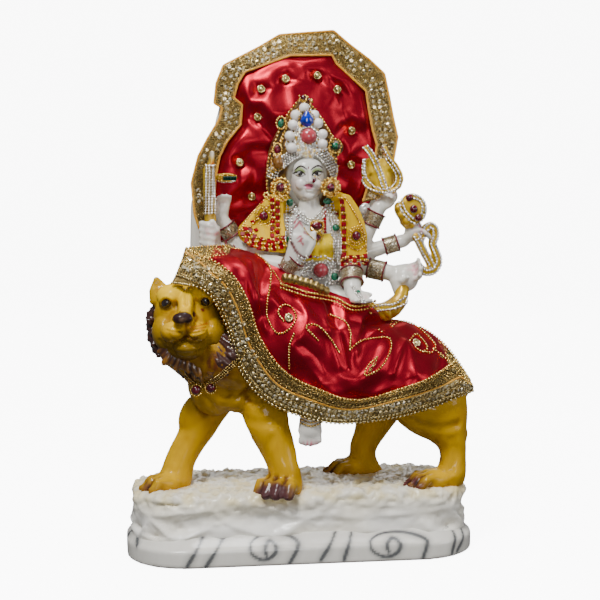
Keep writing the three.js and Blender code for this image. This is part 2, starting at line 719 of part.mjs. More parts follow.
const bodyStones = [
  ["earring_left", [-15.5, -13, 255], 6.5],
  ["earring_right", [20.5, -13, 254.5], 6.5],
  ["ear_green_left", [-8, -14.5, 245], 2.6],
  ["ear_green_right", [18.5, -12.5, 245.8], 3],
  ["pendant", [7.6, -18.5, 228.5], 4.6],
  ["necklace_flower", [9.4, -18.5, 221.5], 3],
  ["shawl_stone_left", [-27, -20.5, 236], 3.4],
  ["shawl_stone_right", [37.5, -20.5, 222], 3.4],
  ["shawl_green_stone", [24, -16.5, 227.5], 2.4],
  ["belt_coral", [12, -17, 196.5], 4.4],
  ["belt_green_stone", [23, -16.5, 193.5], 2.6],
  ["palm_green_stone", [36, -36.5, 184], 2],
  ["conch_stone_1", [77, -8.5, 248], 2.6],
  ["conch_stone_2", [80, -9.5, 240], 2.8],
  ["conch_stone_3", [83.5, -9.5, 234], 2.4],
  ["collar_stone_left", [-75, -35, 119], 3.6],
  ["collar_stone_right", [-65, -35.5, 120.5], 3.6],
];

const backdropStuds = [
  [-7.3, 331], [14.8, 333], [-25, 323.3], [31.3, 324.4], [-28, 304.4], [39.4, 296.3], [40.2, 272], [-39.8, 272.8], [-29.8, 249.6],
];
const skirtStuds = [[0.335, 0.33], [0.74, 0.34]];

const red = [0.62, 0.02, 0.05];
const gold = [0.72, 0.58, 0.28];
const green = [0.02, 0.3, 0.16];
const garnet = [0.3, 0.02, 0.05];

function material([r, g, b], roughness, metalness = 0) {
  return new THREE.MeshStandardMaterial({ color: new THREE.Color(r, g, b), roughness, metalness });
}

function colourOf(name) {
  if (name.includes("pearl")) return material([0.86, 0.83, 0.77], 0.25);
  if (name.includes("blue")) return material([0.03, 0.09, 0.5], 0.1);
  if (name.includes("coral")) return material([0.55, 0.16, 0.18], 0.25);
  if (name.includes("green")) return material(green, 0.12);
  if (name.includes("earring") || name.includes("pendant") || name.includes("stud")) return material(gold, 0.3, 0.9);
  return material(garnet, 0.12);
}

function named(name, body, look) {
  const { vertProperties, triVerts } = body.getMesh();
  const geometry = new THREE.BufferGeometry();
  geometry.setAttribute("position", new THREE.BufferAttribute(new Float32Array(vertProperties), 3));
  geometry.setIndex(new THREE.BufferAttribute(new Uint32Array(triVerts), 1));
  const flat = geometry.toNonIndexed();
  flat.computeVertexNormals();
  const mesh = new THREE.Mesh(flat, look);
  mesh.name = name;
  return mesh;
}

const figure = new THREE.Group();
const statueBody = statue();
figure.add(named("statue_casting", statueBody, material([0.82, 0.81, 0.78], 0.35)));

const dress = new THREE.Group();
dress.position.z = rise;

const placed = [statueBody.translate([0, 0, -rise])];
const meets = (a, b) => {
  const [p, q] = [a.boundingBox(), b.boundingBox()];
  return [0, 1, 2].every((k) => p.min[k] - gap < q.max[k] && q.min[k] - gap < p.max[k]);
};

// Adds a piece, cut clear of everything placed before it
function place(name, whole, look) {
  const body = placed.filter((other) => meets(whole, other)).reduce(clearOf, whole);
  placed.push(body);
  dress.add(named(name, body, look));
}

place("skirt_satin", skirtSheet(skirtColumns, [...satinRows, ...hemRows], -clothThickness, 0), material(red, 0.3));
place("skirt_lace", skirtSheet(skirtColumns, hemRows, gap, gap + laceThickness), material(gold, 0.35, 0.8));
place("backdrop_lace", backdropLaceBand(), material(gold, 0.35, 0.8));
place("backdrop_satin", backdropSatin(), material(red, 0.3));

for (const [name, centre, radius] of [...crownStones, ...bodyStones])
  place(name, cabochon(centre, radius, radius * (name.includes("pearl") ? 1 : 0.7)), colourOf(name));

backdropStuds.forEach(([x, z], i) =>
  place(`backdrop_stud_${i + 1}`, stud([x, backPlateFront - 2, z], studRadius, 7), colourOf("stud")));

skirtStuds.forEach(([u, v], i) => {
  const at = skirtPoint(u, v).addScaledVector(skirtOut(u, v), studHeight / 2 + gap);
  place(`skirt_stud_${i + 1}`, ball(at.toArray(), [studRadius, studHeight, studRadius], 8, 5), colourOf("stud"));
});

figure.add(dress);

export default figure;
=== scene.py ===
"""A painted figure of a goddess riding a lion, dressed in red satin, gold lace, pearls and stones."""
import json
import random
from math import cos, hypot, pi, radians, sin

import bpy
import numpy as np
from mathutils import Matrix, Vector, noise
from mathutils.bvhtree import BVHTree
from mathutils.geometry import delaunay_2d_cdt

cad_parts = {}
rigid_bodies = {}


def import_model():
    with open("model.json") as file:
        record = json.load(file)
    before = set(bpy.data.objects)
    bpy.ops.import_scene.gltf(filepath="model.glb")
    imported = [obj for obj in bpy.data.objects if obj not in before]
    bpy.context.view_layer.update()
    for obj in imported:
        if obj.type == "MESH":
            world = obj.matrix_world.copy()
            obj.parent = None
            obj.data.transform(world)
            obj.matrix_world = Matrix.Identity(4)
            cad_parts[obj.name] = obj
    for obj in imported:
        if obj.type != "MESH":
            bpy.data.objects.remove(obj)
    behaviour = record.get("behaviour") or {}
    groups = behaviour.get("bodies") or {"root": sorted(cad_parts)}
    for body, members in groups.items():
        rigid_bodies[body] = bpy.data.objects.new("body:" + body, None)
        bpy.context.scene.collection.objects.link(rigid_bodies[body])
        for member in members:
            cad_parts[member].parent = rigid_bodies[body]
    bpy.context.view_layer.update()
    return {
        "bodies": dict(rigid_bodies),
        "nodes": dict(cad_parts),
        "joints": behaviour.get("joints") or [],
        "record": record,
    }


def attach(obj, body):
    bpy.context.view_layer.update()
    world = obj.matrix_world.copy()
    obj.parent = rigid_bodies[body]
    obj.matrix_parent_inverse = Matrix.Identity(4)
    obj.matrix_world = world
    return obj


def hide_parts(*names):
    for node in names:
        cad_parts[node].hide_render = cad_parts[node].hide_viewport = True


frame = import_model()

# Every length below is in millimetres, and goes into the meshes as metres
MM = 0.001
PICTURE = 600
FRONT = Vector((0, -1, 0))
SATIN_THICK, LACE_THICK = 0.45, 0.5
ops = bpy.ops


# Shaping

def fresh():
    """Nothing is selected, and no mesh is open."""
    if bpy.context.mode != "OBJECT":
        ops.object.mode_set(mode="OBJECT")
    ops.object.select_all(action="DESELECT")


def only(*pieces):
    fresh()
    for piece in pieces:
        piece.select_set(True)
    bpy.context.view_layer.objects.active = pieces[0]


def newest():
    return bpy.context.object


def open_mesh():
    ops.object.mode_set(mode="EDIT")
    ops.mesh.select_all(action="SELECT")


def close_mesh():
    """Every face is turned outward, and the mesh is closed."""
    ops.mesh.select_all(action="SELECT")
    ops.mesh.normals_make_consistent(inside=False)
    ops.object.mode_set(mode="OBJECT")


def turn_over():
    """A sheet's other side becomes its front."""
    open_mesh()
    ops.mesh.flip_normals()
    ops.object.mode_set(mode="OBJECT")


def settle(piece):
    """The piece's place goes into its mesh."""
    only(piece)
    ops.object.transform_apply(location=True, rotation=True, scale=True)
    return piece


def apply(piece, kind, **settings):
    """Adds a modifier and applies it."""
    only(piece)
    modifier = piece.modifiers.new(kind.title(), kind)
    for key, value in settings.items():
        setattr(modifier, key, value)
    ops.object.modifier_apply(modifier=modifier.name)
    return piece


def degrees(turn):
    return [radians(angle) for angle in turn]


def ball(at, radii, turn=(0, 0, 0), around=24, down=14):
    fresh()
    ops.mesh.primitive_uv_sphere_add(segments=around, ring_count=down, radius=MM,
        location=Vector(at) * MM, rotation=degrees(turn))
    piece = newest()
    piece.scale = radii
    return settle(piece)


def limb(stations, sides=14, wide=(0, 1, 0)):
    """A round-ended tube through stations (x, y, z, half-width[, half-depth]).

    A circle is extruded from station to station in an upright frame of its own, then turned into place.
    The half-width is measured across both the tube and the direction called wide.
    """
    first, last = Vector(stations[0][:3]), Vector(stations[-1][:3])
    along = (last - first).normalized()
    across = Vector(wide).cross(along).normalized()
    deep = along.cross(across)
    frame_of = Matrix((across, deep, along)).transposed().to_4x4()
    frame_of.translation = first
    back = frame_of.inverted()
    inner = [(back @ Vector(s[:3]), s[3], s[4] if len(s) > 4 else s[3]) for s in stations]
    ends = []
    for (place, rx, ry), sign in ((inner[0], -1), (inner[-1], 1)):
        dome = min(rx, ry)
        ends.append([(place + Vector((0, 0, sign * dome * rise)), rx * share, ry * share)
             for rise, share in ((0.9, 0.35), (0.62, 0.75))])
    rings = ends[0] + inner + ends[1][::-1]
    fresh()
    ops.mesh.primitive_circle_add(vertices=sides, radius=1, fill_type="NGON")
    piece = newest()
    open_mesh()
    place, rx, ry = rings[0]
    ops.transform.resize(value=(rx, ry, 1))
    ops.transform.translate(value=place)
    for (before, bx, by), (after, ax, ay) in zip(rings, rings[1:]):
        ops.mesh.extrude_region_move(TRANSFORM_OT_translate={"value": after - before})
        ops.transform.resize(value=(ax / bx, ay / by, 1))
    close_mesh()
    piece.matrix_world = Matrix.Scale(MM, 4) @ frame_of
    return settle(piece)


def block(length, depth, corner, segments, courses):
    """A slab with rounded corners that rises through courses (inset, height)."""
    fresh()
    ops.mesh.primitive_plane_add(size=MM)
    newest().scale = (length, depth, 1)
    core = settle(newest())
    open_mesh()
    ops.mesh.bevel(offset=corner * MM, segments=segments, affect="VERTICES")
    ops.mesh.select_all(action="SELECT")
    inset, z = 0, courses[0][1]
    ops.transform.translate(value=(0, 0, z * MM))
    for after, top in courses:
        if top > z:
            ops.mesh.extrude_region_move(TRANSFORM_OT_translate={"value": (0, 0, (top - z) * MM)})
        ops.transform.resize(value=((length - 2 * after) / (length - 2 * inset),
             (depth - 2 * after) / (depth - 2 * inset), 1))
        inset, z = after, top
    close_mesh()
    return core


def join(name, parts):
    only(*parts)
    if len(parts) > 1:
        ops.object.join()
    piece = newest()
    piece.name = piece.data.name = name
    return piece


def fuse(name, parts, voxel, smooth=5):
    """Joins the parts into one skin."""
    piece = join(name, parts)
    apply(piece, "REMESH", mode="VOXEL", voxel_size=voxel * MM)
    if smooth:
        apply(piece, "SMOOTH", factor=0.5, iterations=smooth)
    ops.object.shade_smooth()
    return piece


def points_of(piece):
    """The piece's vertices, in millimetres."""
    flat = np.empty(len(piece.data.vertices) * 3)
    piece.data.vertices.foreach_get("co", flat)
    return flat.reshape(-1, 3) / MM


def normals_of(piece):
    flat = np.empty(len(piece.data.vertices) * 3)
    piece.data.vertex_normals.foreach_get("vector", flat)
    return flat.reshape(-1, 3)


def move_to(piece, points):
    piece.data.vertices.foreach_set("co", (np.asarray(points) * MM).ravel())
    piece.data.update()
    return piece


def to_path(points, path):
    """Each point's distance to a path of straight runs, and how far along the path it is, from 0 to 1."""
    path = np.asarray(path, float)
    best = np.full(len(points), 1e9)
    share = np.zeros(len(points))
    lengths = np.linalg.norm(np.diff(path, axis=0), axis=1)
    total = max(lengths.sum(), 1e-9)
    done = 0.0
    for a, b, length in zip(path, path[1:], lengths):
        run = b - a
        t = np.clip(((points - a) @ run) / max(run @ run, 1e-12), 0, 1)
        distance = np.linalg.norm(points - a - t[:, None] * run, axis=1)
        nearer = distance < best
        best[nearer] = distance[nearer]
        share[nearer] = (done + t[nearer] * length) / total
        done += length
    return best, share


def between(a, b, c, d, t):
    """The smooth line from b to c that comes from a and goes on to d, at share t."""
    return 0.5 * (2 * b + (c - a) * t + (2 * a - 5 * b + 4 * c - d) * t * t
        + (3 * b - a - 3 * c + d) * t ** 3)


def run_on(marks):
    """The marks with one more at each end, straight on."""
    return [2 * marks[0] - marks[1], *marks, 2 * marks[-1] - marks[-2]]


def bend(path, steps=10):
    """A smooth path through the given points."""
    marks = run_on([Vector(p) for p in path])
    out = [between(*four, i / steps) for four in zip(marks, marks[1:], marks[2:], marks[3:])
        for i in range(steps)]
    return [*out, Vector(path[-1])]


def eased(stations, steps=4):
    """More stations on a smooth line through the given ones."""
    marks = run_on([np.array(s if len(s) == 5 else (*s, s[3]), float) for s in stations])
    out = [between(*four, i / steps) for four in zip(marks, marks[1:], marks[2:], marks[3:])
        for i in range(steps)]
    return [tuple(s) for s in (*out, marks[-2])]


def through(marks, u):
    """Points on the smooth line through the marks, for u from 0 to 1."""
    marks = np.array(run_on(np.array(marks, float)))
    place = np.clip(np.asarray(u, float), 0, 1) * (len(marks) - 3)
    i = np.minimum(place.astype(int), len(marks) - 4)
    return between(*(marks[i + k] for k in range(4)), (place - i)[..., None])


def carve(piece, skin, grooves, **kind):
    """Presses each groove (picture points, width, depth) into the piece."""
    for pixels, width, depth in grooves:
        press(piece, skin.trail(pixels), width, depth, **kind)


def press(piece, path, width, depth, facing=None, crisp=False):
    """Presses a groove along a path, or raises a ridge where depth is negative."""
    points, normals = points_of(piece), normals_of(piece)
    path = path if len(path) > 1 else [path[0], Vector(path[0]) + Vector((0, 0, 1e-3))]
    distance, _ = to_path(points, path)
    near_by = np.clip(1 - distance / width, 0, 1)
    weight = near_by ** 1.4 if crisp else (near_by * (2 - near_by)) ** 2
    if facing is not None:
        weight = weight * np.clip(normals @ np.asarray(facing, float) * 2, 0, 1)
    return move_to(piece, points - normals * (weight * depth)[:, None])


def swell(piece, points, amount):
    """Moves each point outward by its own amount, and gives the new points."""
    return points_of(move_to(piece, points + normals_of(piece) * amount[:, None]))


def hollows(piece, rounds=14):
    """How far each vertex lies below its smoothed surroundings, in millimetres."""
    points, normals = points_of(piece), normals_of(piece)
    edges = np.empty(len(piece.data.edges) * 2, int)
    piece.data.edges.foreach_get("vertices", edges)
    a, b = edges.reshape(-1, 2).T
    count = np.bincount(a, minlength=len(points)) + np.bincount(b, minlength=len(points))
    soft = points.copy()
    for _ in range(rounds):
        total = np.stack([np.bincount(a, soft[b, k], len(points))
             + np.bincount(b, soft[a, k], len(points)) for k in range(3)], 1)
        soft = 0.4 * soft + 0.6 * total / count[:, None]
    return ((soft - points) * normals).sum(1)


def ramp(values, low, high):
    """0 below low, 1 above high and smooth between; low may be the greater."""
    t = np.clip((values - low) / (high - low), 0, 1)
    return t * t * (3 - 2 * t)


def near(points, at, radii):
    """1 at a place, fading to 0 at the given radii."""
    distance = np.linalg.norm((points - np.asarray(at)) / np.asarray(radii), axis=1)
    return ramp(distance, 1, 0)


def speckle(points, size, seed=0):
    """Soft noise from -1 to 1, with lumps of about that size."""
    shift = Vector((seed * 17.3, seed * 5.1, seed * 9.7))
    return np.array([noise.noise(Vector(p) / size + shift) for p in points])


def tint(*rgb):
    """Colours as a screen shows them, 0 to 255, made linear."""
    c = np.array(rgb) / 255
    return np.where(c <= 0.04045, c / 12.92, ((c + 0.055) / 1.055) ** 2.4)


def coats(points, base, *layers):
    """A base colour with layers (strength at each point, colour) over it."""
    colour = np.tile(np.asarray(base, float), (len(points), 1))
    for strength, over in layers:
        strength = np.clip(strength, 0, 1)[:, None]
        colour = colour * (1 - strength) + np.asarray(over) * strength
    return colour


def paint(piece, colours):
    """Stores the painted colours in the mesh."""
    layer = piece.data.color_attributes.new(name="paint", type="FLOAT_COLOR", domain="POINT")
    rgba = np.ones((len(colours), 4))
    rgba[:, :3] = colours
    layer.data.foreach_set("color", rgba.ravel())
    return piece


def grid(name, columns, rows, where, closed=False):
    """A sheet whose points where(u, v) gives in millimetres. A closed one meets itself at u = 0 and 1."""
    fresh()
    ops.mesh.primitive_grid_add(x_subdivisions=columns, y_subdivisions=rows, size=2)
    piece = newest()
    piece.name = piece.data.name = name
    flat = np.empty(len(piece.data.vertices) * 3)
    piece.data.vertices.foreach_get("co", flat)
    uv = (flat.reshape(-1, 3)[:, :2] + 1) / 2
    move_to(piece, where(uv[:, 0], uv[:, 1]))
    if closed:
        open_mesh()
        ops.mesh.remove_doubles(threshold=0.02 * MM)
        close_mesh()
    ops.object.shade_smooth()
    return piece


def scatter(name, unit, places):
    """One mesh of many copies of a small piece. A place is (centre, outward direction, scale[, spin])."""
    mesh = unit.data
    base = np.empty(len(mesh.vertices) * 3)
    mesh.vertices.foreach_get("co", base)
    base = base.reshape(-1, 3)
    faces = [tuple(p.vertices) for p in mesh.polygons]
    smooth = mesh.polygons[0].use_smooth
    points, polygons = [], []
    for i, (centre, out, scale, *spin) in enumerate(places):
        turn = Vector(out).to_track_quat("Z", "Y").to_matrix()
        if spin:
            turn = turn @ Matrix.Rotation(spin[0], 3, "Z")
        size = np.asarray(scale if hasattr(scale, "__len__") else (scale,) * 3)
        points.append((base * size) @ np.array(turn).T + np.asarray(centre) * MM)
        shift = i * len(base)
        polygons.extend(tuple(v + shift for v in face) for face in faces)
    made = bpy.data.meshes.new(name)
    made.from_pydata(np.concatenate(points), [], polygons)
    made.polygons.foreach_set("use_smooth", [smooth] * len(polygons))
    piece = bpy.data.objects.new(name, made)
    bpy.context.scene.collection.objects.link(piece)
    return piece


def discard(*pieces):
    for piece in pieces:
        bpy.data.objects.remove(piece, do_unlink=True)


# Materials

class Value:
    """A number that changes over the surface. Arithmetic on it adds Math nodes."""

    def __init__(self, look, socket):
        self.look, self.socket = look, socket

    def __add__(self, other):
        return self.look.maths("ADD", self, other)

    def __sub__(self, other):
        return self.look.maths("SUBTRACT", self, other)

    def __rsub__(self, other):
        return self.look.maths("SUBTRACT", other, self)

    def __mul__(self, other):
        return self.look.maths("MULTIPLY", self, other)

    def __gt__(self, other):
        return self.look.maths("GREATER_THAN", self, other)

    __radd__, __rmul__ = __add__, __mul__


class Look:
    """A material: fixed numbers go on its shader, and what varies is linked to it."""

    def __init__(self, name, fixed):
        self.material = bpy.data.materials.new(name)
        self.material.use_nodes = True
        self.tree = self.material.node_tree
        self.skin = self.tree.nodes["Principled BSDF"]
        for socket, value in fixed.items():
            if socket.endswith(("Color", "Tint")):
                value = (*value, 1)
            self.skin.inputs[socket].default_value = value
        self.here = self.node("ShaderNodeTexCoord").outputs["Object"]

    def node(self, kind, settings=(), **inputs):
        made = self.tree.nodes.new(kind)
        for key, value in dict(settings).items():
            setattr(made, key, value)
        for key, value in inputs.items():
            socket = made.inputs[int(key[1:])] if key[0] == "_" else made.inputs[key.replace("_", " ")]
            self.give(socket, value)
        return made

    def give(self, socket, value):
        if isinstance(value, Value):
            value = value.socket
        if isinstance(value, bpy.types.NodeSocket):
            self.tree.links.new(value, socket)
        else:
            socket.default_value = value

    def maths(self, operation, a, b):
        made = self.node("ShaderNodeMath", {"operation": operation}, _0=a, _1=b)
        return Value(self, made.outputs[0])

    def noise(self, scale, detail=3, stretch=(1, 1, 1), at=None):
        place = self.node("ShaderNodeMapping", Vector=at or self.here, Scale=stretch).outputs[0]
        made = self.node("ShaderNodeTexNoise", Vector=place, Scale=scale, Detail=detail)
        return Value(self, made.outputs["Fac"])

    def cells(self, scale, feature="F1", output="Distance"):
        made = self.node("ShaderNodeTexVoronoi", {"feature": feature}, Vector=self.here, Scale=scale)
        return Value(self, made.outputs[output])

    def painted(self, name="paint"):
        return self.node("ShaderNodeAttribute", {"attribute_name": name}).outputs["Color"]

    def mix(self, share, a, b, how="MIX"):
        made = self.tree.nodes.new("ShaderNodeMix")
        made.data_type, made.blend_type = "RGBA", how
        for socket, value in ((made.inputs[0], share), (made.inputs[6], a), (made.inputs[7], b)):
            self.give(socket, (*value, 1) if isinstance(value, (tuple, list, np.ndarray)) else value)
        return made.outputs[2]

    def stops(self, value, *stops):
        """A colour ramp through (position, colour)."""
        made = self.node("ShaderNodeValToRGB", Fac=value)
        marks = made.color_ramp.elements
        while len(marks) < len(stops):
            marks.new(0.5)
        for mark, (position, colour) in zip(marks, stops):
            mark.position, mark.color = position, (*colour, 1)
        return made.outputs[0]

    def wear(self, **links):
        """Links what varies to the shader's sockets."""
        for key, value in links.items():
            self.give(self.skin.inputs[key.replace("_", " ")], value)
        return self

    def bumps(self, height, depth):
        """Relief that is depth millimetres high."""
        made = self.node("ShaderNodeBump", Height=height, Distance=depth * MM, Strength=1.0)
        return self.wear(Normal=made.outputs[0])


# The picture's viewpoint

CENTRE = Vector((1, 0, 176))
AWAY = 1000
SIDE, LIFT = radians(-8), radians(5.5)
MM_PER_PIXEL = 0.705
BACKWARD = Vector((sin(SIDE) * cos(LIFT), -cos(SIDE) * cos(LIFT), sin(LIFT)))
EYE = CENTRE + BACKWARD * AWAY
RIGHT = Vector((cos(SIDE), sin(SIDE), 0))
UPWARD = RIGHT.cross(-BACKWARD)


def sight(x, y):
    """The direction in which the camera sees a point of the picture."""
    reach = AWAY / MM_PER_PIXEL
    across, up = (x - PICTURE / 2) / reach, (PICTURE / 2 - y) / reach
    return (-BACKWARD + RIGHT * across + UPWARD * up).normalized()


def at_depth(x, y, depth):
    """The point in the picture at (x, y) that has that Y."""
    way = sight(x, y)
    return EYE + way * ((depth - EYE.y) / way.y)


def set_camera_and_lights():
    data = bpy.data.cameras.new("camera")
    data.sensor_width = 36
    data.lens = data.sensor_width * AWAY / (PICTURE * MM_PER_PIXEL)
    data.clip_start, data.clip_end = 0.05, 20
    camera = bpy.data.objects.new("camera", data)
    turn = Matrix((RIGHT, UPWARD, BACKWARD)).transposed().to_4x4()
    camera.matrix_world = Matrix.Translation(EYE * MM) @ turn
    bpy.context.scene.collection.objects.link(camera)
    bpy.context.scene.camera = camera

    for name, place, size, watts in (("key", (-0.5, -0.8, 1.35), 0.35, 26),
            ("fill", (1.3, -0.9, 0.5), 0.6, 6), ("front", (0.05, -1.6, 0.35), 0.35, 4.2),
            ("top", (0.1, -0.1, 1.4), 0.4, 8), ("behind", (0.3, 1.5, 1), 0.8, 6)):
        data = bpy.data.lights.new(name, "AREA")
        data.size, data.energy = size, watts
        lamp = bpy.data.objects.new(name, data)
        lamp.location = place
        lamp.rotation_euler = (Vector((0, 0, 0.18)) - lamp.location).to_track_quat("-Z", "Y").to_euler()
        bpy.context.scene.collection.objects.link(lamp)
    world = bpy.data.worlds.new("studio")
    world.use_nodes = True
    world.node_tree.nodes["Background"].inputs["Color"].default_value = (0.92, 0.93, 0.95, 1)
    world.node_tree.nodes["Background"].inputs["Strength"].default_value = 0.16
    bpy.context.scene.world = world

    # A pale floor that curves up all round. It glows a little, and isn't mirrored in the gloss
    fresh()
    radius, step = 2.2, 0.17
    ops.mesh.primitive_circle_add(vertices=72, radius=radius, fill_type="NGON", location=(0, 0, -0.0002))
    floor = newest()
    floor.name = "floor"
    open_mesh()
    for k in range(9):
        angle = radians(10 * k + 5)
        ops.mesh.extrude_region_move(TRANSFORM_OT_translate={"value": (0, 0, step * sin(angle))})
        wider = radius + step * cos(angle)
        ops.transform.resize(value=(wider / radius, wider / radius, 1))
        radius = wider
    ops.mesh.extrude_region_move(TRANSFORM_OT_translate={"value": (0, 0, 4)})
    ops.mesh.delete(type="ONLY_FACE")
    ops.object.mode_set(mode="OBJECT")
    settle(floor)
    ops.object.shade_smooth()
    look = Look("pale floor", {"Roughness": 0.8, "Specular IOR Level": 0.1, "Emission Strength": 9,
         "Emission Color": (1, 1, 1)})
    look.wear(Base_Color=look.stops(look.noise(3), (0.3, (0.88, 0.88, 0.88)), (0.7, (0.92, 0.92, 0.92))))
    floor.data.materials.append(look.material)
    floor.visible_diffuse = floor.visible_glossy = floor.visible_shadow = False


class Surface:
    """Finds points on a finished piece."""

    guess = 0.0

    def __init__(self, *pieces):
        points, faces = [], []
        for piece in pieces:
            shift = sum(len(p) for p in points)
            points.append(points_of(piece))
            faces.extend([v + shift for v in face.vertices] for face in piece.data.polygons)
        self.tree = BVHTree.FromPolygons(np.concatenate(points).tolist(), faces)

    def seen(self, x, y, lift=0.0):
        """The point that shows at pixel (x, y), raised by lift, and the direction outward there."""
        way = sight(x, y)
        place, out, _, _ = self.tree.ray_cast(EYE, way)
        if place is None:
            place, out = self.closest(at_depth(x, y, self.guess))
        else:
            self.guess = place.y
        if out.dot(way) > 0:
            out = -out
        return place + out * lift, out

    def closest(self, point):
        place, out, _, _ = self.tree.find_nearest(Vector(point))
        return place, out

    def trail(self, pixels, lift=0.0, steps=6, smooth=True):
        """A path over the piece through picture points."""
        flat = [Vector((x, y, 0)) for x, y in pixels]
        if smooth and len(flat) > 2:
            flat = bend(flat, steps)
        return [self.seen(p.x, p.y, lift)[0] for p in flat]


def evenly(path, pitch, closed=False):
    """Points a pitch apart along a path."""
    path = [Vector(p) for p in path]
    if closed:
        path.append(path[0])
    lengths = [0]
    for a, b in zip(path, path[1:]):
        lengths.append(lengths[-1] + (b - a).length)
    count = max(1, round(lengths[-1] / pitch))
    out, i = [], 0
    for k in range(count + (0 if closed else 1)):
        target = lengths[-1] * k / count
        while i < len(path) - 2 and lengths[i + 1] < target:
            i += 1
        run = lengths[i + 1] - lengths[i]
        out.append(path[i].lerp(path[i + 1], (target - lengths[i]) / run if run else 0))
    return out


def wires(name, paths, radius, sides=6, closed=False):
    """Round threads along paths, as one mesh."""
    data = bpy.data.curves.new(name, "CURVE")
    data.dimensions = "3D"
    data.bevel_depth = radius * MM
    data.bevel_resolution = max(0, sides // 2 - 2)
    data.use_fill_caps = not closed
    for path in paths:
        run = data.splines.new("POLY")
        run.points.add(len(path) - 1)
        for mark, point in zip(run.points, path):
            mark.co = (*(Vector(point) * MM), 1)
        run.use_cyclic_u = closed
    piece = bpy.data.objects.new(name, data)
    bpy.context.scene.collection.objects.link(piece)
    only(piece)
    ops.object.convert(target="MESH")
    piece = newest()
    piece.name = piece.data.name = name
    ops.object.shade_smooth()
    return piece


def finish(piece, look, slot="gilt_setting", *stands_for):
    """The piece gets its material, rides with the statue and stands for its solids."""
    piece.data.materials.clear()
    piece.data.materials.append(look.material)
    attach(piece, "root")
    for node in stands_for:
        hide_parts(node)
    return piece


def cast(piece, look):
    """A piece of the painted casting."""
    return finish(piece, look, "cast_marble_dust", "statue_casting")


def smooth_set(name, parts, look, slot, *stands_for):
    """Small smooth parts that make one piece."""
    piece = join(name, parts)
    ops.object.shade_smooth()
    return finish(piece, look, slot, *stands_for)


# Finishes

def enamel(name, rough=0.3, coat=0.2, grain=0.12, shine=0.45, brush=0.35):
    """Brushed gloss paint over cast marble dust: the colours are painted on the mesh."""
    look = Look(name, {"Roughness": rough, "Coat Weight": coat, "Coat Roughness": 0.1,
         "Specular IOR Level": shine})
    brushed = look.noise(220, 4, (1, 1, 0.4))
    colour = look.mix(look.maths("MULTIPLY", brushed, brush), look.painted(),
        look.mix(1, look.painted(), (0.74, 0.7, 0.62), "MULTIPLY"))
    look.wear(Base_Color=colour, Roughness=brushed * 0.22 + (rough - 0.1))
    return look.bumps(look.noise(420, 3) * 0.5 + look.noise(90, 2), grain)


# Plinth and rock

PLINTH_LENGTH, PLINTH_DEPTH = 244, 106
ROCK_LENGTH, ROCK_DEPTH = 234, 86
PAWS = [
    ((-16, -31, 45), (35, 31, 58)), ((-94, -12, 45), (31, 23, 14)), ((94, -26, 45), (40, 23, 16)),
    ((44, 19, 46), (38, 21, 4))]
SCROLLS = [
    [(127, 538), (131, 531), (146, 528), (166, 524)], [(137, 546), (139, 533), (150, 530), (168, 527)],
    [(205, 531), (198, 548), (187, 567)], [(226, 532), (218, 548), (206, 567)],
    [(338, 523), (331, 543), (321, 560)], [(352, 523), (350, 540), (344, 560)],
    [(438, 519), (450, 527), (455, 538), (452, 553)], [(450, 517), (460, 527), (463, 538), (457, 551)],
    [(267, 556), (265, 549), (269, 541), (276, 546), (274, 555), (263, 560), (252, 554), (251, 543),
     (262, 535), (280, 533), (295, 539), (298, 547), (290, 563)],
    [(389, 552), (387, 545), (392, 538), (400, 543), (398, 552), (386, 557), (373, 551), (371, 540),
     (383, 533), (404, 532), (424, 538), (427, 545), (423, 558)]]


def make_plinth():
    """A rounded slab of cast marble with a sloped shoulder, painted with soft grey strokes and scrolls."""
    profile = [(1.2, 0), (0, 1.2), (0, 11), (0.4, 12.2), (2, 13.2), (9, 19.2), (11, 20.4), (16, 21)]
    plinth = fuse("plinth", [block(PLINTH_LENGTH, PLINTH_DEPTH, 42, 14, profile)], 1.35, 1)
    points = points_of(plinth)
    points = swell(plinth, points, speckle(points, 38, 3) * 0.35 * ramp(points[:, 2], 0.4, 4))
    surface = Surface(plinth)
    grey, pale = tint(66, 70, 76), tint(236, 233, 225)
    ink = np.zeros(len(points))
    for stroke in SCROLLS:
        path = surface.trail(stroke)
        distance, share = to_path(points, path)
        width = 1.5 + 0.5 * np.sin(share * 9)
        ink = np.maximum(ink, ramp(distance, width * 1.35, width * 0.4) * 0.92)
        ink = np.maximum(ink, ramp(distance, width * 3.2, 0) * 0.4)
        back = [Vector((-p.x, -p.y, p.z)) for p in path]
        distance, _ = to_path(points, back)
        ink = np.maximum(ink, ramp(distance, 3.6, 0.6) * 0.7 * (points[:, 1] > 8))
    cloud = speckle(points, 22, 8)
    # Random cloudy tone, then grey along the bottom edge as painted shade, then the grey strokes
    paint(plinth, coats(points, pale, (ramp(cloud, 0.1, 0.8) * 0.25, tint(214, 210, 200)),
         (ramp(points[:, 2], 1.6, 0) * 0.5, tint(176, 172, 164)), (ink, grey)))
    return cast(plinth, enamel("marble enamel", 0.2, 0.6, 0.05))


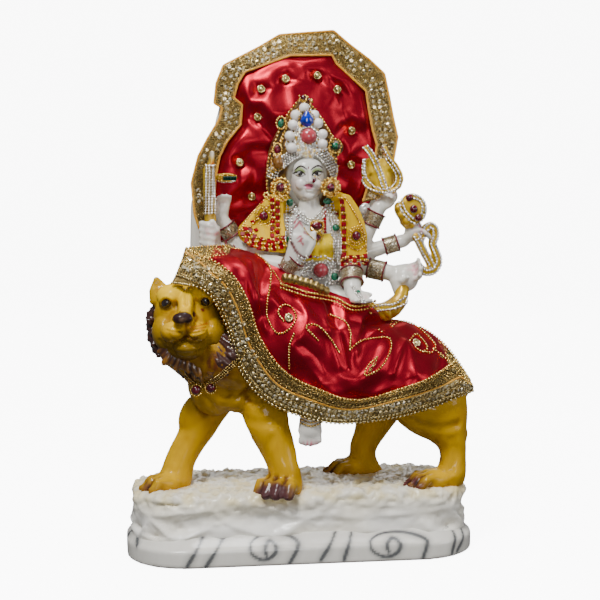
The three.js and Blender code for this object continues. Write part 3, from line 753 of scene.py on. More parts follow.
def make_rock(paws):
    """A low cast rock, scooped and chiselled, cream white with yellow overspray near the paws, with painted
    shade in its hollows and on its faces that turn down.
    """
    courses = [(-1, 15), (0, 22), (1.5, 29), (1, 36), (0, 42), (3, 45.5), (13, 46.5)]
    rock = fuse("rock", [block(ROCK_LENGTH, ROCK_DEPTH, 33, 10, courses)], 1.5, 1)
    points, normals = points_of(rock), normals_of(rock)
    draw = random.Random(41)
    height = points[:, 2]

    def spots(count, among):
        """So many of the rock's own points."""
        return points[draw.sample(list(np.nonzero(among)[0]), count)]

    def scoops(middles, stretch):
        """1 in the middle of each scoop and 0 on the ridges between them."""
        away = np.linalg.norm((points[:, None] - middles[None]) / np.asarray(stretch), axis=2)
        away.partition(1, axis=1)
        return 1 - (2 * away[:, 0] / (away[:, 0] + away[:, 1])) ** 1.5

    large = scoops(spots(64, (height > 13) & (height < 47)), (1.6, 1.6, 0.85))
    fine = scoops(spots(560, height > 16), (1.3, 1.3, 0.8))
    crumb = speckle(points, 3.4, 2)
    lumps = speckle(points, 14, 5)
    side = ramp(np.abs(normals[:, 2]), 0.85, 0.3)
    top = ramp(height, 34, 43)
    off = 2.6 - large * 6.4 * side - fine * (0.8 + 1.6 * top) + crumb * (0.25 + 1.7 * top) + lumps * 0.8
    for paw in paws:
        off = off * (1 - 0.8 * near(points, paw, (26, 20, 14)))
    points = swell(rock, points, off * ramp(height, 16, 20))
    dip = hollows(rock, 8)
    shade = ramp(dip, 0.1, 1)
    crest = ramp(points[:, 2], 38, 44)
    slope = normals_of(rock)[:, 2]
    upper = ramp(points[:, 2], 26, 42)
    # Painted shade: grey on the faces that turn down, and darker in the hollows, on the crest too; the rest
    # is the rock's own cream, yellow and purple-brown paint
    layers = [(ramp(speckle(points, 26, 4), -0.1, 0.6) * 0.4, tint(238, 228, 198)),
        (upper * 0.35, tint(242, 230, 188)), (ramp(slope, -0.1, -0.6) * 0.3, tint(200, 192, 172)),
        (crest * ramp(speckle(points, 9, 1), -0.4, 0.4) * 0.55, tint(244, 222, 140)),
        (shade * 0.25, tint(222, 212, 184)), (crest * shade * 0.35, tint(196, 176, 116)),
        (near(points, (-21, -50, 41), (26, 16, 6)) * (0.6 + speckle(points, 4, 3)), tint(118, 92, 88))]
    for (x, y, z), strength in zip(paws, (0.75, 0.9, 0.7, 0.35)):
        spray = near(points, (x, y, z - 2), (32, 22, 12)) * (0.7 + 0.5 * speckle(points, 4, 9))
        layers.append((spray * strength, tint(232, 190, 30)))
    paint(rock, coats(points, tint(254, 251, 243), *layers))
    return cast(rock, enamel("rock enamel", 0.34, 0.25, 0.12, 0.4, 0.1))


# The lion

TRUNK = [
    (113, 2, 110, 12, 13), (108, 2, 113, 17, 18), (102, 2, 116, 21, 22), (84, 2, 124, 26, 27),
    (52, 2, 127, 26, 30), (20, 1, 127, 26, 30), (-8, 0, 130, 27, 32), (-34, -4, 136, 28, 38),
    (-56, -9, 140, 27, 38), (-70, -14, 142, 23, 32)]
TAIL = [
    (108, 10, 126, 6), (119, 22, 120, 4.5), (112, 33, 110, 4), (92, 37, 106, 3.6), (76, 36, 112, 3.4),
    (66, 35, 120, 6), (56, 34, 124, 3)]
LEGS = {
    "near_front": [(-30, -16, 128, 19, 13), (-28, -22, 108, 17, 13), (-25, -26, 92, 15, 12),
     (-18, -28, 74, 12, 11), (-14, -30, 60, 11, 11), (-13, -30, 48, 12, 12)],
    "far_front": [(-52, 6, 124, 20, 14), (-62, 2, 104, 15, 13), (-72, -2, 86, 12, 11),
     (-83, -5, 68, 10.5, 10), (-88, -6, 52, 12, 11)],
    "near_hind": [(84, -14, 124, 24, 14), (90, -20, 104, 27, 16), (96, -22, 91, 22, 14),
     (105, -22, 78, 12, 11), (107, -22, 68, 10, 10), (105, -23, 52, 12, 11)],
    "far_hind": [(70, 16, 112, 22, 13), (62, 18, 92, 16, 12), (54, 19, 74, 11, 10), (50, 20, 62, 10, 10),
     (54, 20, 50, 12, 10)]}


def heading_ways(heading):
    """The way ahead of a paw, and the way across it."""
    ahead = Vector((-cos(radians(heading)), -sin(radians(heading)), 0))
    return ahead, Vector((-ahead.y, ahead.x, 0))


def paw_parts(place, size):
    """Four knuckled toes on a broad pad."""
    long, wide, heading = size
    way, across = heading_ways(heading)
    middle = Vector(place)
    parts = [ball(middle + Vector((0, 0, 5)) + way * 2, (long * 0.36, wide * 0.46, 8.5), (0, 0, heading))]
    for side, reach in ((-1.5, 0.34), (-0.5, 0.46), (0.5, 0.46), (1.5, 0.34)):
        root = middle + across * (side * wide * 0.2) + Vector((0, 0, 8.5)) + way * (long * 0.12)
        knuckle = middle + across * (side * wide * 0.235) + Vector((0, 0, 8.2))
        knuckle += way * (long * reach * 0.82)
        tip = middle + across * (side * wide * 0.25) + Vector((0, 0, 2.5)) + way * (long * (reach + 0.06))
        parts.append(limb([(*root, wide * 0.13), (*knuckle, wide * 0.155), (*tip, wide * 0.13)]))
        claw = tip + way * 2.2
        parts.append(limb([(*(claw + Vector((0, 0, 1.5))), 1.7),
              (*(claw + way * 2.2 - Vector((0, 0, 1.8))), 0.9)], 8))
    return parts


def paint_lion(piece, *extra, brown=1.0):
    """Glossy yellow, brown where two colours were brushed together, and painted light: lighter yellow on
    faces that turn up as a painted highlight, painted shade on faces that turn down, and ochre in the
    hollows, partly brown wash and partly painted shade.
    """
    points, normals = points_of(piece), normals_of(piece)
    dip = hollows(piece, 16)
    patch = speckle(points, 17, 6)
    streak = speckle(points * np.array((1, 1, 0.35)), 5, 7)
    under = ramp(normals[:, 2], 0.1, -0.9)
    # Painted light: the up-facing layer is a painted highlight, under is painted shade, and the hollows get
    # ochre that is part brown wash, part painted shade
    return paint(piece, coats(points, tint(198, 151, 0), (ramp(patch, 0, 0.7) * 0.4, tint(220, 170, 0)),
         (ramp(normals[:, 2], 0, 0.8) * 0.7, tint(240, 190, 0)),
         (ramp(streak, 0.1, 0.8) * 0.35, tint(176, 120, 0)), (under * 0.6, tint(132, 96, 0)),
         (ramp(dip, 0.12, 0.9) * 0.8 * brown, tint(112, 62, 0)), *extra))


def toe_brown_and_shade(points, dip):
    """Brown brushed over the toes and claws, darker in their hollows as painted shade."""
    layers = []
    for (place, (long, _, heading)), strength in zip(PAWS, (1.3, 0.7, 1.2, 0.8)):
        front = Vector(place) + heading_ways(heading)[0] * long * 0.5 + Vector((0, 0, 3))
        patch = near(points, front, (25, 27, 17)) * (0.95 + speckle(points, 5, 11) * 0.7)
        # The brown over the toes is paint; its darker second layer in the hollows is painted shade
        layers += [(patch * strength, tint(92, 46, 44)),
            (patch * ramp(dip, 0, 0.5) * strength, tint(48, 24, 24))]
    under = near(points, (-24, -50, 46), (30, 20, 15)) * (1.5 + speckle(points, 4, 15))
    layers.append((under, tint(84, 52, 54)))
    return layers


def make_lion():
    parts = [limb(eased(TRUNK), 28), ball((-60, -17, 122), (20, 18, 24)),
        ball((-76, -10, 160), (28, 24, 35))]
    parts += [limb([a, b], 12) for a, b in zip(TAIL, TAIL[1:])]
    parts += [limb(eased(stations), 22) for stations in LEGS.values()]
    for place, size in PAWS:
        parts.extend(paw_parts(place, size))
    # Shoulder, elbow, thigh and hock
    for at, radii, turn in (((-30, -21, 118), (17, 11, 20), (0, 12, 0)),
            ((-26, -27, 90), (11, 9, 12), (0, 0, 0)), ((86, -19, 112), (24, 15, 21), (0, -20, 0)),
            ((103, -24, 86), (11, 10, 12), (0, 0, 0)), ((112, -20, 79), (6, 7, 9), (0, 20, 0)),
            ((-74, -3, 96), (11, 10, 16), (0, 20, 0)), ((-48, -24, 116), (14, 9, 16), (0, 0, 0)),
            ((64, 18, 98), (14, 10, 14), (0, 10, 0)), ((60, 34, 122), (6, 5, 6), (0, 0, 0))):
        parts.append(ball(at, radii, turn))
    lion = fuse("lion", parts, 1.6, 4)
    body = Surface(lion)
    # Creases in the chest, shoulder, legs and between the toes
    carve(lion, body, (([(205, 397), (215, 408), (224, 414), (236, 410)], 3, 1),
         ([(236, 399), (245, 392), (252, 386)], 3, 1.1), ([(214, 392), (224, 398), (233, 396)], 3, 0.8),
         ([(226, 410), (232, 424), (238, 440)], 4, 0.8), ([(246, 398), (254, 404), (262, 403)], 3.5, 1.2),
         ([(247, 420), (262, 424), (280, 420)], 5, 0.8), ([(272, 438), (268, 452), (270, 466)], 4, 0.7),
         ([(400, 410), (418, 424), (440, 428), (458, 424)], 5, 1.4),
         ([(440, 432), (436, 446), (440, 460)], 4, 0.9), ([(452, 440), (456, 456), (452, 470)], 4, 0.9),
         ([(352, 426), (346, 440), (344, 452)], 4, 0.7), ([(186, 440), (180, 452), (176, 462)], 3.5, 0.7),
         ([(232, 420), (222, 436), (210, 452)], 4, 0.6)))
    for place, (long, wide, heading) in PAWS:
        way, across = heading_ways(heading)
        for side in (-1, 0, 1):
            start = Vector(place) + Vector((0, 0, 14)) + way * (long * 0.15) + across * (side * wide * 0.22)
            end = Vector(place) + Vector((0, 0, 2)) + way * (long * 0.56) + across * (side * wide * 0.26)
            press(lion, [start, start.lerp(end, 0.6) + Vector((0, 0, 3)), end], 2.6, 1.5)
    points = points_of(lion)
    points = swell(lion, points, speckle(points, 9, 12) * 0.35 + speckle(points, 3.2, 13) * 0.12)
    dip = hollows(lion, 10)
    mane = near(points, (-60, -30, 139), (36, 36, 26)) * (1.5 + speckle(points * (1.4, 1, 0.6), 4, 3))
    extra = [(mane, tint(104, 56, 24)),
        (near(points, at_depth(252, 400, -24), (8, 8, 9)), tint(88, 34, 26)),
        (near(points, (60, 34, 122), (10, 9, 8)), tint(92, 50, 24))]
    back = ramp(points[:, 0], -58, -78) * ramp(points[:, 1], -14, 0) * ramp(points[:, 2], 118, 134)
    extra.append((back, tint(78, 42, 26)))
    paint_lion(lion, *extra, *toe_brown_and_shade(points, dip))
    return cast(lion, enamel("lion enamel", 0.5, 0.25, 0.1, 0.1))


EYES = (166.4, 302.9), (204.9, 301.4)


def make_lion_head():
    """The broad face: brows, nose, muzzle, chin, cheeks and two ears hollow at the front."""
    parts = [ball((-80, -26, 168), (23, 20, 22), around=32, down=20),
        ball((-94, -33, 159), (10.5, 12, 13)), ball((-65, -33, 157), (11, 12, 14)),
        ball((-79, -31, 151), (18.5, 16.5, 13.5)), ball((-79, -36, 158), (19, 14, 12)),
        ball((-90.5, -36, 184), (11, 9.5, 8), (0, -14, 0)),
        ball((-70.5, -36, 185), (11.5, 9.5, 8), (0, 12, 0)),
        limb([(-81, -38, 183, 8, 6), (-83, -50, 172, 7, 5), (-84, -58, 169.5, 6.5, 4.5)], 16, (1, 0, 0)),
        ball((-91, -50, 160.5), (8.5, 9, 7)), ball((-76.5, -50, 160), (9, 9.5, 7)),
        ball((-83.5, -53, 165), (8, 8, 6)), ball((-82, -47, 149.5), (9, 8.5, 6)),
        ball((-84.8, -59.5, 170.5), (7.4, 4.4, 4.2))]
    parts += [limb([(x + 1, -26, 180, 9, 4), (x + lean, -26, 188, 6.6, 3),
          (x + 2 * lean, -25, 194.5, 2, 1.4)]) for x, lean in ((-98, -1.4), (-63, 1.4))]
    head = fuse("lion_head", parts, 0.8, 3)
    face = Surface(head)
    # The furrow of the brow and the folds beside the nose
    carve(head, face, (([(185, 283), (186, 292), (186.5, 303)], 2.8, 1.9),
         ([(186.5, 303), (183, 308)], 3.5, 0.7),
         ([(174, 303), (177, 309), (172, 316), (167, 323)], 3.2, 1.3),
         ([(196, 301), (198, 309), (205, 316), (209, 325)], 3.2, 1)))
    for x, y in EYES:
        at, _ = face.seen(x, y)
        press(head, [at], 5.4, 2.3)
        lids = [(x + 6.3 * cos(a), y + 5.6 * sin(a)) for a in np.linspace(0, 2 * pi, 13)]
        press(head, face.trail(lids), 2, -0.9)
    # Muzzle: the split below the nose, the smile, and whisker lines
    carve(head, face, (([(185.5, 322), (186.2, 330), (187, 336.5)], 2, 1.3),
         ([(176.6, 341), (181.5, 340), (187, 336.6), (192, 339.6), (196.5, 338.4)], 1.7, 1.6),
         *(([(190, y + 1), (198, y), (reach, y - 2)], 1.3, 0.7)
          for y, reach in ((325.5, 207), (329, 206.5), (332.6, 205))),
         *(([(180, y + 2), (173, y + 1), (reach, y - 1)], 1.3, 0.4)
          for y, reach in ((327, 165.5), (331, 167))),
         ([(160, 341), (165, 348), (175, 352.5), (186, 354), (199, 352), (213, 346)], 3.2, 0.9),
         ([(196.5, 345), (199, 339), (207, 333), (209, 326)], 2.6, 0.5),
         ([(176, 342), (170.5, 337), (165.5, 330)], 2.6, 0.45)))
    press(head, [at_depth(159, 291, -26), at_depth(158, 286, -26)], 4.6, 2, (0, -1, 0))
    press(head, face.trail([(175, 312.4), (194, 312.8)]), 1.8, -0.5)
    points = points_of(head)
    points = swell(head, points, speckle(points, 6, 14) * 0.22)
    face = Surface(head)

    def on(path, width, soft=0.5):
        distance, _ = to_path(points, face.trail(path))
        return ramp(distance, width * (1 + soft), width * (1 - soft))

    nose = on([(178, 316.8), (187, 317.2)], 4.4, 0.25) + on([(175.8, 314.5), (193, 314.5)], 2.2, 0.3)
    layers = [(on([(167, 322), (160, 330), (156, 340)], 5) * 0.3, tint(212, 170, 40)),
        (on([(186.5, 325), (187, 335)], 1.6) * 0.5, tint(146, 80, 10)),
        (on([(177, 322.5), (188, 322.5)], 2.6, 0.9) * 0.6, tint(120, 84, 20)), (nose, tint(44, 24, 26)),
        (on([(181, 320), (185, 320)], 1.2, 0.9) * 0.6, tint(120, 92, 66)),
        (on([(176.6, 341.2), (181.5, 340.2), (187, 336.8), (192, 339.8), (196.5, 338.6)], 0.8, 0.4),
         tint(96, 14, 16)), (on([(193.5, 314), (197, 318), (194, 323)], 1, 0.6) * 0.7, tint(110, 60, 20)),
        (on([(190, 327.5), (198, 326.5), (207, 323.5)], 0.8, 0.8) * 0.75, tint(176, 92, 8)),
        (on([(190, 331), (198, 330), (206, 327.5)], 0.8, 0.8) * 0.6, tint(176, 92, 8)),
        (on([(202, 309.5), (203.6, 310.5)], 0.9, 0.4), tint(120, 30, 16)),
        (on([(161, 311.8), (164, 313), (167, 313.2)], 0.6, 0.8) * 0.6, tint(150, 96, 10))]
    for x, y in EYES:
        at, _ = face.seen(x, y)
        distance = np.linalg.norm(points - np.array(at), axis=1)
        layers.append((ramp(distance, 6.2, 4.4) * (0.85 + 0.4 * speckle(points, 2, 5)), tint(70, 38, 20)))
    x, y, z = points.T
    # Painted light: the lower face and the sides of the face darker as painted shade, the brow lighter as a
    # painted highlight, brown under the chin partly mane paint and partly painted shade, and darker ochre
    # in the ear's hollow as painted shade; the back of the head and the patch behind the cheek are the
    # mane's brown
    layers += [(ramp(z, 166, 150) * 0.85, tint(122, 92, 0)),
        (ramp(np.abs(x + 80), 11, 22) * 0.6, tint(132, 100, 0)),
        (ramp(z, 174, 184) * ramp(y, -24, -34) * 0.75, tint(255, 208, 0)),
        (near(points, (-57, -32, 146), (9, 20, 12)) * 1.4, tint(86, 48, 26)),
        (ramp(z, 147, 140) * ramp(y, -58, -40) * (0.6 + 0.5 * speckle(points, 4, 8)), tint(86, 44, 30)),
        (ramp(y, -22, -12) * 0.9, tint(60, 32, 24)),
        (near(points, at_depth(158.6, 289, -26), (4, 9, 7)) * 0.5, tint(168, 112, 10))]
    paint_lion(head, *layers, brown=0.8)
    cast(head, enamel("lion head enamel", 0.5, 0.3, 0.08, 0.1))

    # Wet black eyes
    eyes = []
    for x, y in EYES:
        at, out = face.seen(x, y)
        eyes.append(ball(at - out * 1.4 + Vector((0, -0.6, 0)), (3.9, 3.4, 3.9), around=28, down=18))
    look = Look("eye enamel", {"Roughness": 0.06, "Coat Weight": 1, "Coat Roughness": 0.03})
    look.wear(Base_Color=look.stops(look.noise(300), (0.35, (0.006, 0.005, 0.006)),
         (0.7, (0.03, 0.015, 0.012))))
    smooth_set("lion_eyes", eyes, look, "cast_marble_dust", "statue_casting")
    return head


def make_ruff():
    """The dark scalloped locks behind the face, and the tufts under the chin."""
    parts = []
    for k in range(11):
        angle = radians(146 + k * 18)
        way = Vector((cos(angle), 0, sin(angle)))
        root = Vector((-80, -15, 161)) + way * 19
        tip = Vector((-80, -24, 160)) + way * (27.0 + 1.6 * sin(k * 2.1))
        side = Vector((-way.z, 0, way.x)) * 2.4
        parts.append(limb(eased([(*root, 8, 6), (*(root.lerp(tip, 0.6) + side * 0.3), 6.5, 5),
               (*(tip - way * 2 + side), 2.6, 2.2)], 3), 12, (0, 1, 0)))
    for k in range(9):
        angle = radians(204 + k * 18)
        way = Vector((cos(angle), 0, sin(angle)))
        root = Vector((-78, -31, 158)) + way * 12
        tip = Vector((-76, -36 - 1.3 * k, 156)) + way * (27.5 + 2 * sin(k * 1.7))
        parts.append(limb(eased([(*root, 7, 6), (*root.lerp(tip, 0.6), 5.6, 5),
               (*(tip - way * 2), 2, 1.8)], 3), 12, (0, 1, 0)))
    parts.append(ball((-72, -26, 136), (14, 12, 12)))
    for x, y, z, size in ((-79, -32, 131, 6), (-72, -37, 131.5, 6.5), (-84, -26, 133, 6),
            (-64, -41, 134, 6.5), (-56, -44, 137, 6), (-68, -40, 137, 7), (-60, -44, 139, 6.5),
            (-52, -45, 143, 6), (-77, -36, 134, 7)):
        parts.append(limb([(x, y + 4, z + 8, size, 5), (x + 1, y, z, size * 0.8, 4),
              (x + 1, y + 1, z - 6, 2, 2)], 12))
    ruff = fuse("lion_mane", parts, 1.05, 2)
    points = points_of(ruff)
    strand = np.arctan2(points[:, 2] - 164, points[:, 0] + 80)
    groove = np.sin(strand * 46 + speckle(points, 6, 2) * 2.6)
    points = swell(ruff, points, groove * 0.4 + speckle(points, 4, 6) * 0.3)
    dip = hollows(ruff, 8)
    low = ramp(points[:, 2], 150, 138) * ramp(points[:, 1], -24, -34)
    dry = (0.5 + 0.6 * speckle(points, 4.5, 9)) * ramp(dip, 0.3, -0.4)
    dry = dry * ramp(points[:, 0], -58, -66)
    paint(ruff, coats(points, tint(58, 32, 28),
         (ramp(speckle(points, 7, 4), 0, 0.7) * 0.5, tint(84, 46, 30)),
         (low * dry * 0.8, tint(170, 116, 20)),
         (ramp(points[:, 1], -28, -36) * dry * 0.5, tint(140, 90, 24)),
         (near(points, (-58, -42, 150), (22, 24, 24)) * 1.6, tint(70, 40, 32))))
    return cast(ruff, enamel("mane enamel", 0.3, 0.35))


# The goddess

TORSO = [
    (14, -2, 172, 22, 16), (13, -5, 186, 17, 13), (12, -6, 198, 14, 10.5), (10, -6, 212, 15, 11.5),
    (8, -6, 224, 17, 11.5), (7, -5, 233, 19, 9.5)]
FOLDED_LEG = [
    (10, -4, 182, 17, 15), (-16, -14, 188, 16, 14), (-44, -20, 195, 13, 12), (-54, -20, 196, 10, 10)]
FOLDED_SHIN = [(-50, -24, 190, 10, 10), (-24, -32, 180, 10, 9), (2, -32, 176, 8, 8)]
HANGING_THIGH = [(18, -4, 176, 17, 15), (28, -18, 170, 13, 12), (29, -29, 160, 10, 10)]
SHIN = [(29, -31, 158, 9, 9), (22, -37, 142, 8.5, 8.5), (10, -40, 120, 7.5, 7.5), (3, -41, 102, 6.5, 6.5)]
ARMS = {
    "sword": [(-16, 2, 228, 8), (-42, 2, 205, 7), (-60, -5, 214, 5.5)],
    "discus": [(-16, 4, 230, 8), (-40, 4, 213, 6.5), (-54, 3, 233, 5)],
    "blessing": [(-14, -8, 230, 8.5), (-38, -16, 205, 8), (-9, -32, 201.5, 6)],
    "trident": [(24, 2, 226, 8), (43, 4, 210, 6.5), (58, 1, 242, 5.2)],
    "flower": [(24, 4, 222, 8), (46, 5, 208, 6), (76, 1, 217.5, 4.8)],
    "club": [(24, 4, 216, 8), (42, 5, 200, 6.5), (66, -3, 194.5, 5.8)],
    "lap": [(24, -6, 226, 8.5), (35, -12, 203, 7.6), (34, -26, 185.5, 6)]}
CUFF_AT = {"blessing": ((-13, -30.5, 200), (-6.5, -33.5, 207.5), 7)}


def hand_parts(wrist, way, palm, size, curl, thumb=1, thumb_curl=25):
    """Palm, four fingers and a thumb. The fingers bend towards palm by curl degrees at each joint."""
    wrist, way, palm = Vector(wrist), Vector(way).normalized(), Vector(palm).normalized()
    side = palm.cross(way).normalized()
    palm = way.cross(side)
    knuckles = wrist + way * size * 0.95
    parts = [limb([(*wrist, size * 0.4, size * 0.3),
          (*(wrist + way * size * 0.45), size * 0.5, size * 0.27), (*knuckles, size * 0.52, size * 0.24)],
         16, palm)]
    for k in range(4):
        across = (k - 1.5) * 0.27
        length = (0.92, 1, 0.95, 0.78)[k]
        at = knuckles + side * across * size - way * size * 0.05
        angle, spots = 0, [at]
        for share in (0.42, 0.32, 0.24):
            angle += radians(curl)
            at = at + (way * cos(angle) + palm * sin(angle) + side * across * 0.12) * share * size * length
            spots.append(at)
        for a, b in zip(spots, spots[1:]):
            parts.append(limb([(*a, size * 0.135), (*b, size * 0.125)], 10,
                 side if abs(side.z) < 0.9 else way))
    at = wrist + way * size * 0.25 + side * (thumb * size * 0.4)
    bend_angle = radians(thumb_curl)
    tip = at + (way * cos(bend_angle) + side * (thumb * 0.45) + palm * sin(bend_angle)) * size * 0.5
    end = tip + (way * cos(bend_angle) - side * (thumb * 0.1) + palm * sin(bend_angle) * 1.4) * size * 0.34
    parts.append(limb([(*at, size * 0.18), (*tip, size * 0.16)], 10, palm))
    parts.append(limb([(*tip, size * 0.155), (*end, size * 0.125)], 10, palm))
    return parts


WHITE = tint(226, 223, 214)


def make_goddess_body():
    """Torso, folded leg and hanging foot, in white enamel with a yellow blouse."""
    parts = [limb(eased(TORSO), 28), limb([(7, -5, 233, 13, 9), (7, -5, 238, 8.5, 7.5),
          (6.5, -5, 250, 6.6, 6.8)], 22), limb(eased(FOLDED_LEG), 22), limb(eased(FOLDED_SHIN), 18),
        limb(eased(HANGING_THIGH), 22, (1, 0, 0)), limb(eased(SHIN), 20),
        ball((3.5, -14, 216), (7.5, 6, 7)), ball((16, -13.5, 216), (7.5, 6, 7)),
        ball((-13, -2, 231), (9, 9, 7)), ball((24, -1, 229), (9, 9, 8))]
    # The hanging foot and its toes, seen from above
    parts.append(limb([(3, -41, 106, 6.4, 6.4), (2, -43, 98, 7.6, 5.5), (1.6, -45, 90, 8.8, 4.2)], 18))
    for x, z, r in ((-5, 82.6, 2.2), (-1.7, 81.2, 2.1), (1.5, 80.8, 2), (4.5, 81.4, 2), (7.4, 83, 2.4)):
        parts.append(limb([(x * 0.9 + 0.4, -45.5, 91, 1.9), (x + 0.2, -46, z + 1, r)], 10))
    body = fuse("goddess_body", parts, 1.3, 3)
    # Folds of the blouse
    carve(body, Surface(body), (([(311, 236), (313, 248), (312, 260)], 2.2, 0.5),
         ([(320, 238), (321, 250), (319, 262)], 2.2, 0.5), ([(327, 240), (327, 252)], 2, 0.4)))
    points = points_of(body)
    x, y, z = points.T
    dip = hollows(body, 10)
    blouse = ramp(z, 224.5, 222.8) * ramp(z, 203, 205) * ramp(y, 8, 4) * ramp(x, -4, -1)
    belt_gap_shade = ramp(z, 206, 204) * ramp(z, 182, 186) * ramp(y, 0, -4) * ramp(np.abs(x - 14), 18, 15)
    toes = near(points, (1.5, -48, 81.6), (11, 7, 5)) * 1.3
    stripes = 0.5 + 0.5 * np.sin((x + 4.4) * 2.1)
    back_cloth = ramp(y, 0, 6) * ramp(z, 236, 232)
    # Painted shade: grey in the hollows and under the belt's silver beads, so their gaps read dark, and
    # darker yellow in the blouse's hollows
    paint(body, coats(points, WHITE, (ramp(dip, 0.1, 0.8) * 0.5, tint(176, 168, 158)),
         (blouse, tint(234, 200, 4)), (belt_gap_shade * 0.8, tint(120, 116, 108)),
         (blouse * ramp(dip, 0.05, 0.4), tint(170, 126, 0)), (toes * stripes, tint(222, 120, 140)),
         (back_cloth, tint(190, 150, 4))))
    return cast(body, enamel("goddess enamel", 0.28, 0.3, 0.06))


BLUSHES = [
    ((-61, -12, 224), (10, 8, 13), 0.75), ((67, -4, 252), (9, 9, 8), 1), ((85, -6, 226), (9, 10, 8), 1.1),
    ((83, -9, 197), (11, 12, 10), 1.1), ((36, -38, 180), (10, 8, 8), 0.4),
    ((-55, 0, 248), (8, 8, 9), 0.3)]
PALM_STROKES = [
    ((299.5, 214.5), (294, 223.5)), ((299.4, 221.5), (294.2, 228.5)), ((299.6, 221.5), (302, 226)),
    ((304, 232), (307.3, 234.6)), ((300.8, 236), (297.6, 238.6)), ((302.2, 238.6), (299, 241.8)),
    ((301.4, 241.4), (303.4, 245.4))]


def make_arms():
    """Seven arms in white enamel, with pink brushed over the fingers and painted shade in the hollows."""
    parts = []
    for shoulder, elbow, wrist in ARMS.values():
        middle = [(a + b) / 2 for a, b in zip(elbow, wrist)]
        middle[3] = elbow[3] * 0.42 + wrist[3] * 0.58
        parts += [limb([shoulder, elbow], 18), limb([elbow, middle, wrist], 18),
            ball(elbow[:3], (elbow[3] * 1.02,) * 3)]
    # The sword hand: four fingers stacked round the grip
    parts += [limb([(-60.5, -3, 211, 5.6, 5), (-62, -5, 219, 6.6, 6), (-63, -6, 227, 6, 5.4)], 18)]
    for k in range(4):
        z = 216 + 4.3 * k
        parts.append(limb([(-68.5, -8, z + 1.8, 2.4), (-65.5, -12, z + 1, 2.5),
              (-60.5, -12, z - 0.6, 2.4), (-57.5, -8, z - 1.8, 2.3)], 10, (0, 0, 1)))
    parts.append(limb([(-58, -7, 219, 2.8), (-58.5, -11.5, 226, 2.5), (-61.5, -12.5, 232, 2.2)], 10))
    # The discus hand, and the open palm with its fingers up
    parts += hand_parts((-54, 3, 233), (0.12, -0.05, 1), FRONT, 9.6, 10, 1)
    parts += [limb([(-10, -34, 203, 5.8, 5), (-6.5, -36.5, 212, 7, 3.8), (-4.5, -38, 222, 7, 3.4)], 16)]
    for dx, top, lean in ((-4.9, 235, -2), (-1.7, 240.5, -0.8), (1.6, 239, 0.4), (4.7, 233, 1.2)):
        parts.append(limb([(-4.6 + dx, -37.5, 221, 2.1), (-4.6 + dx + lean * 0.5, -37, 229, 2.1),
              (-4.6 + dx + lean, -36, top, 1.7)], 12, (0, 1, 0)))
    parts.append(limb([(0.6, -37, 211, 2.6), (4.5, -37.5, 218, 2.3), (5.4, -37, 225, 1.9)], 12))
    # The trident hand
    parts += hand_parts((60, 0, 241), (0.45, -0.1, 0.9), (-0.5, -0.9, 0.1), 9.5, 50, -1, 20)
    parts += [ball((64.5, -1, 249), (6.2, 4.5, 6.4))]
    # The hand with the flower
    parts += hand_parts((76, 0, 218), (0.85, -0.15, 0.5), (0.1, -0.5, -1), 11.5, 30, -1, 10)
    parts += [ball((82, -2, 224.5), (6.6, 5, 7), (0, 30, 0))]
    # The club hand
    parts += hand_parts((67, -4, 194.5), (0.9, -0.25, 0.05), (-0.25, -0.9, 0.5), 14, 30, -1, 50)
    parts += [ball((76, -6, 191), (9, 7, 9.5)), limb([(70, -5, 190, 6), (72, -7, 182, 5.5)], 14)]
    # The hand in the lap
    parts += hand_parts((34, -27, 184), (0.12, -0.75, -0.3), (0.1, -0.45, 0.9), 13, 12, 1, 20)
    arms = fuse("goddess_arms", parts, 1.1, 2)
    points = points_of(arms)
    dip = hollows(arms, 10)
    fine = speckle(points, 2.6, 5)
    # Painted shade: grey in the hollows, and a deeper pink in the hollows of the pink fingers
    layers = [(ramp(dip, 0.08, 0.7) * 0.5, tint(176, 166, 158))]
    for at, radii, strength in BLUSHES:
        blush = near(points, at, radii) * np.clip(0.2 + fine * 1.5, 0, 1)
        layers += [(blush * strength, tint(226, 132, 152)),
            (near(points, at, radii) * ramp(dip, 0.12, 0.6) * strength, tint(196, 96, 120))]
    skin = Surface(arms)
    for stroke in PALM_STROKES:
        distance, _ = to_path(points, skin.trail(stroke, smooth=False))
        layers.append((ramp(distance, 1, 0.5) * (points[:, 1] < -25) * 0.85, tint(172, 24, 60)))
    edge = skin.trail([(291.8, 243), (296, 251), (301, 256.5), (308, 260.5)])
    distance, _ = to_path(points, edge)
    layers.append((ramp(distance, 1.5, 0.8) * 0.9, tint(96, 14, 20)))
    paint(arms, coats(points, WHITE, *layers))
    return cast(arms, enamel("arm enamel", 0.26, 0.3, 0.06))


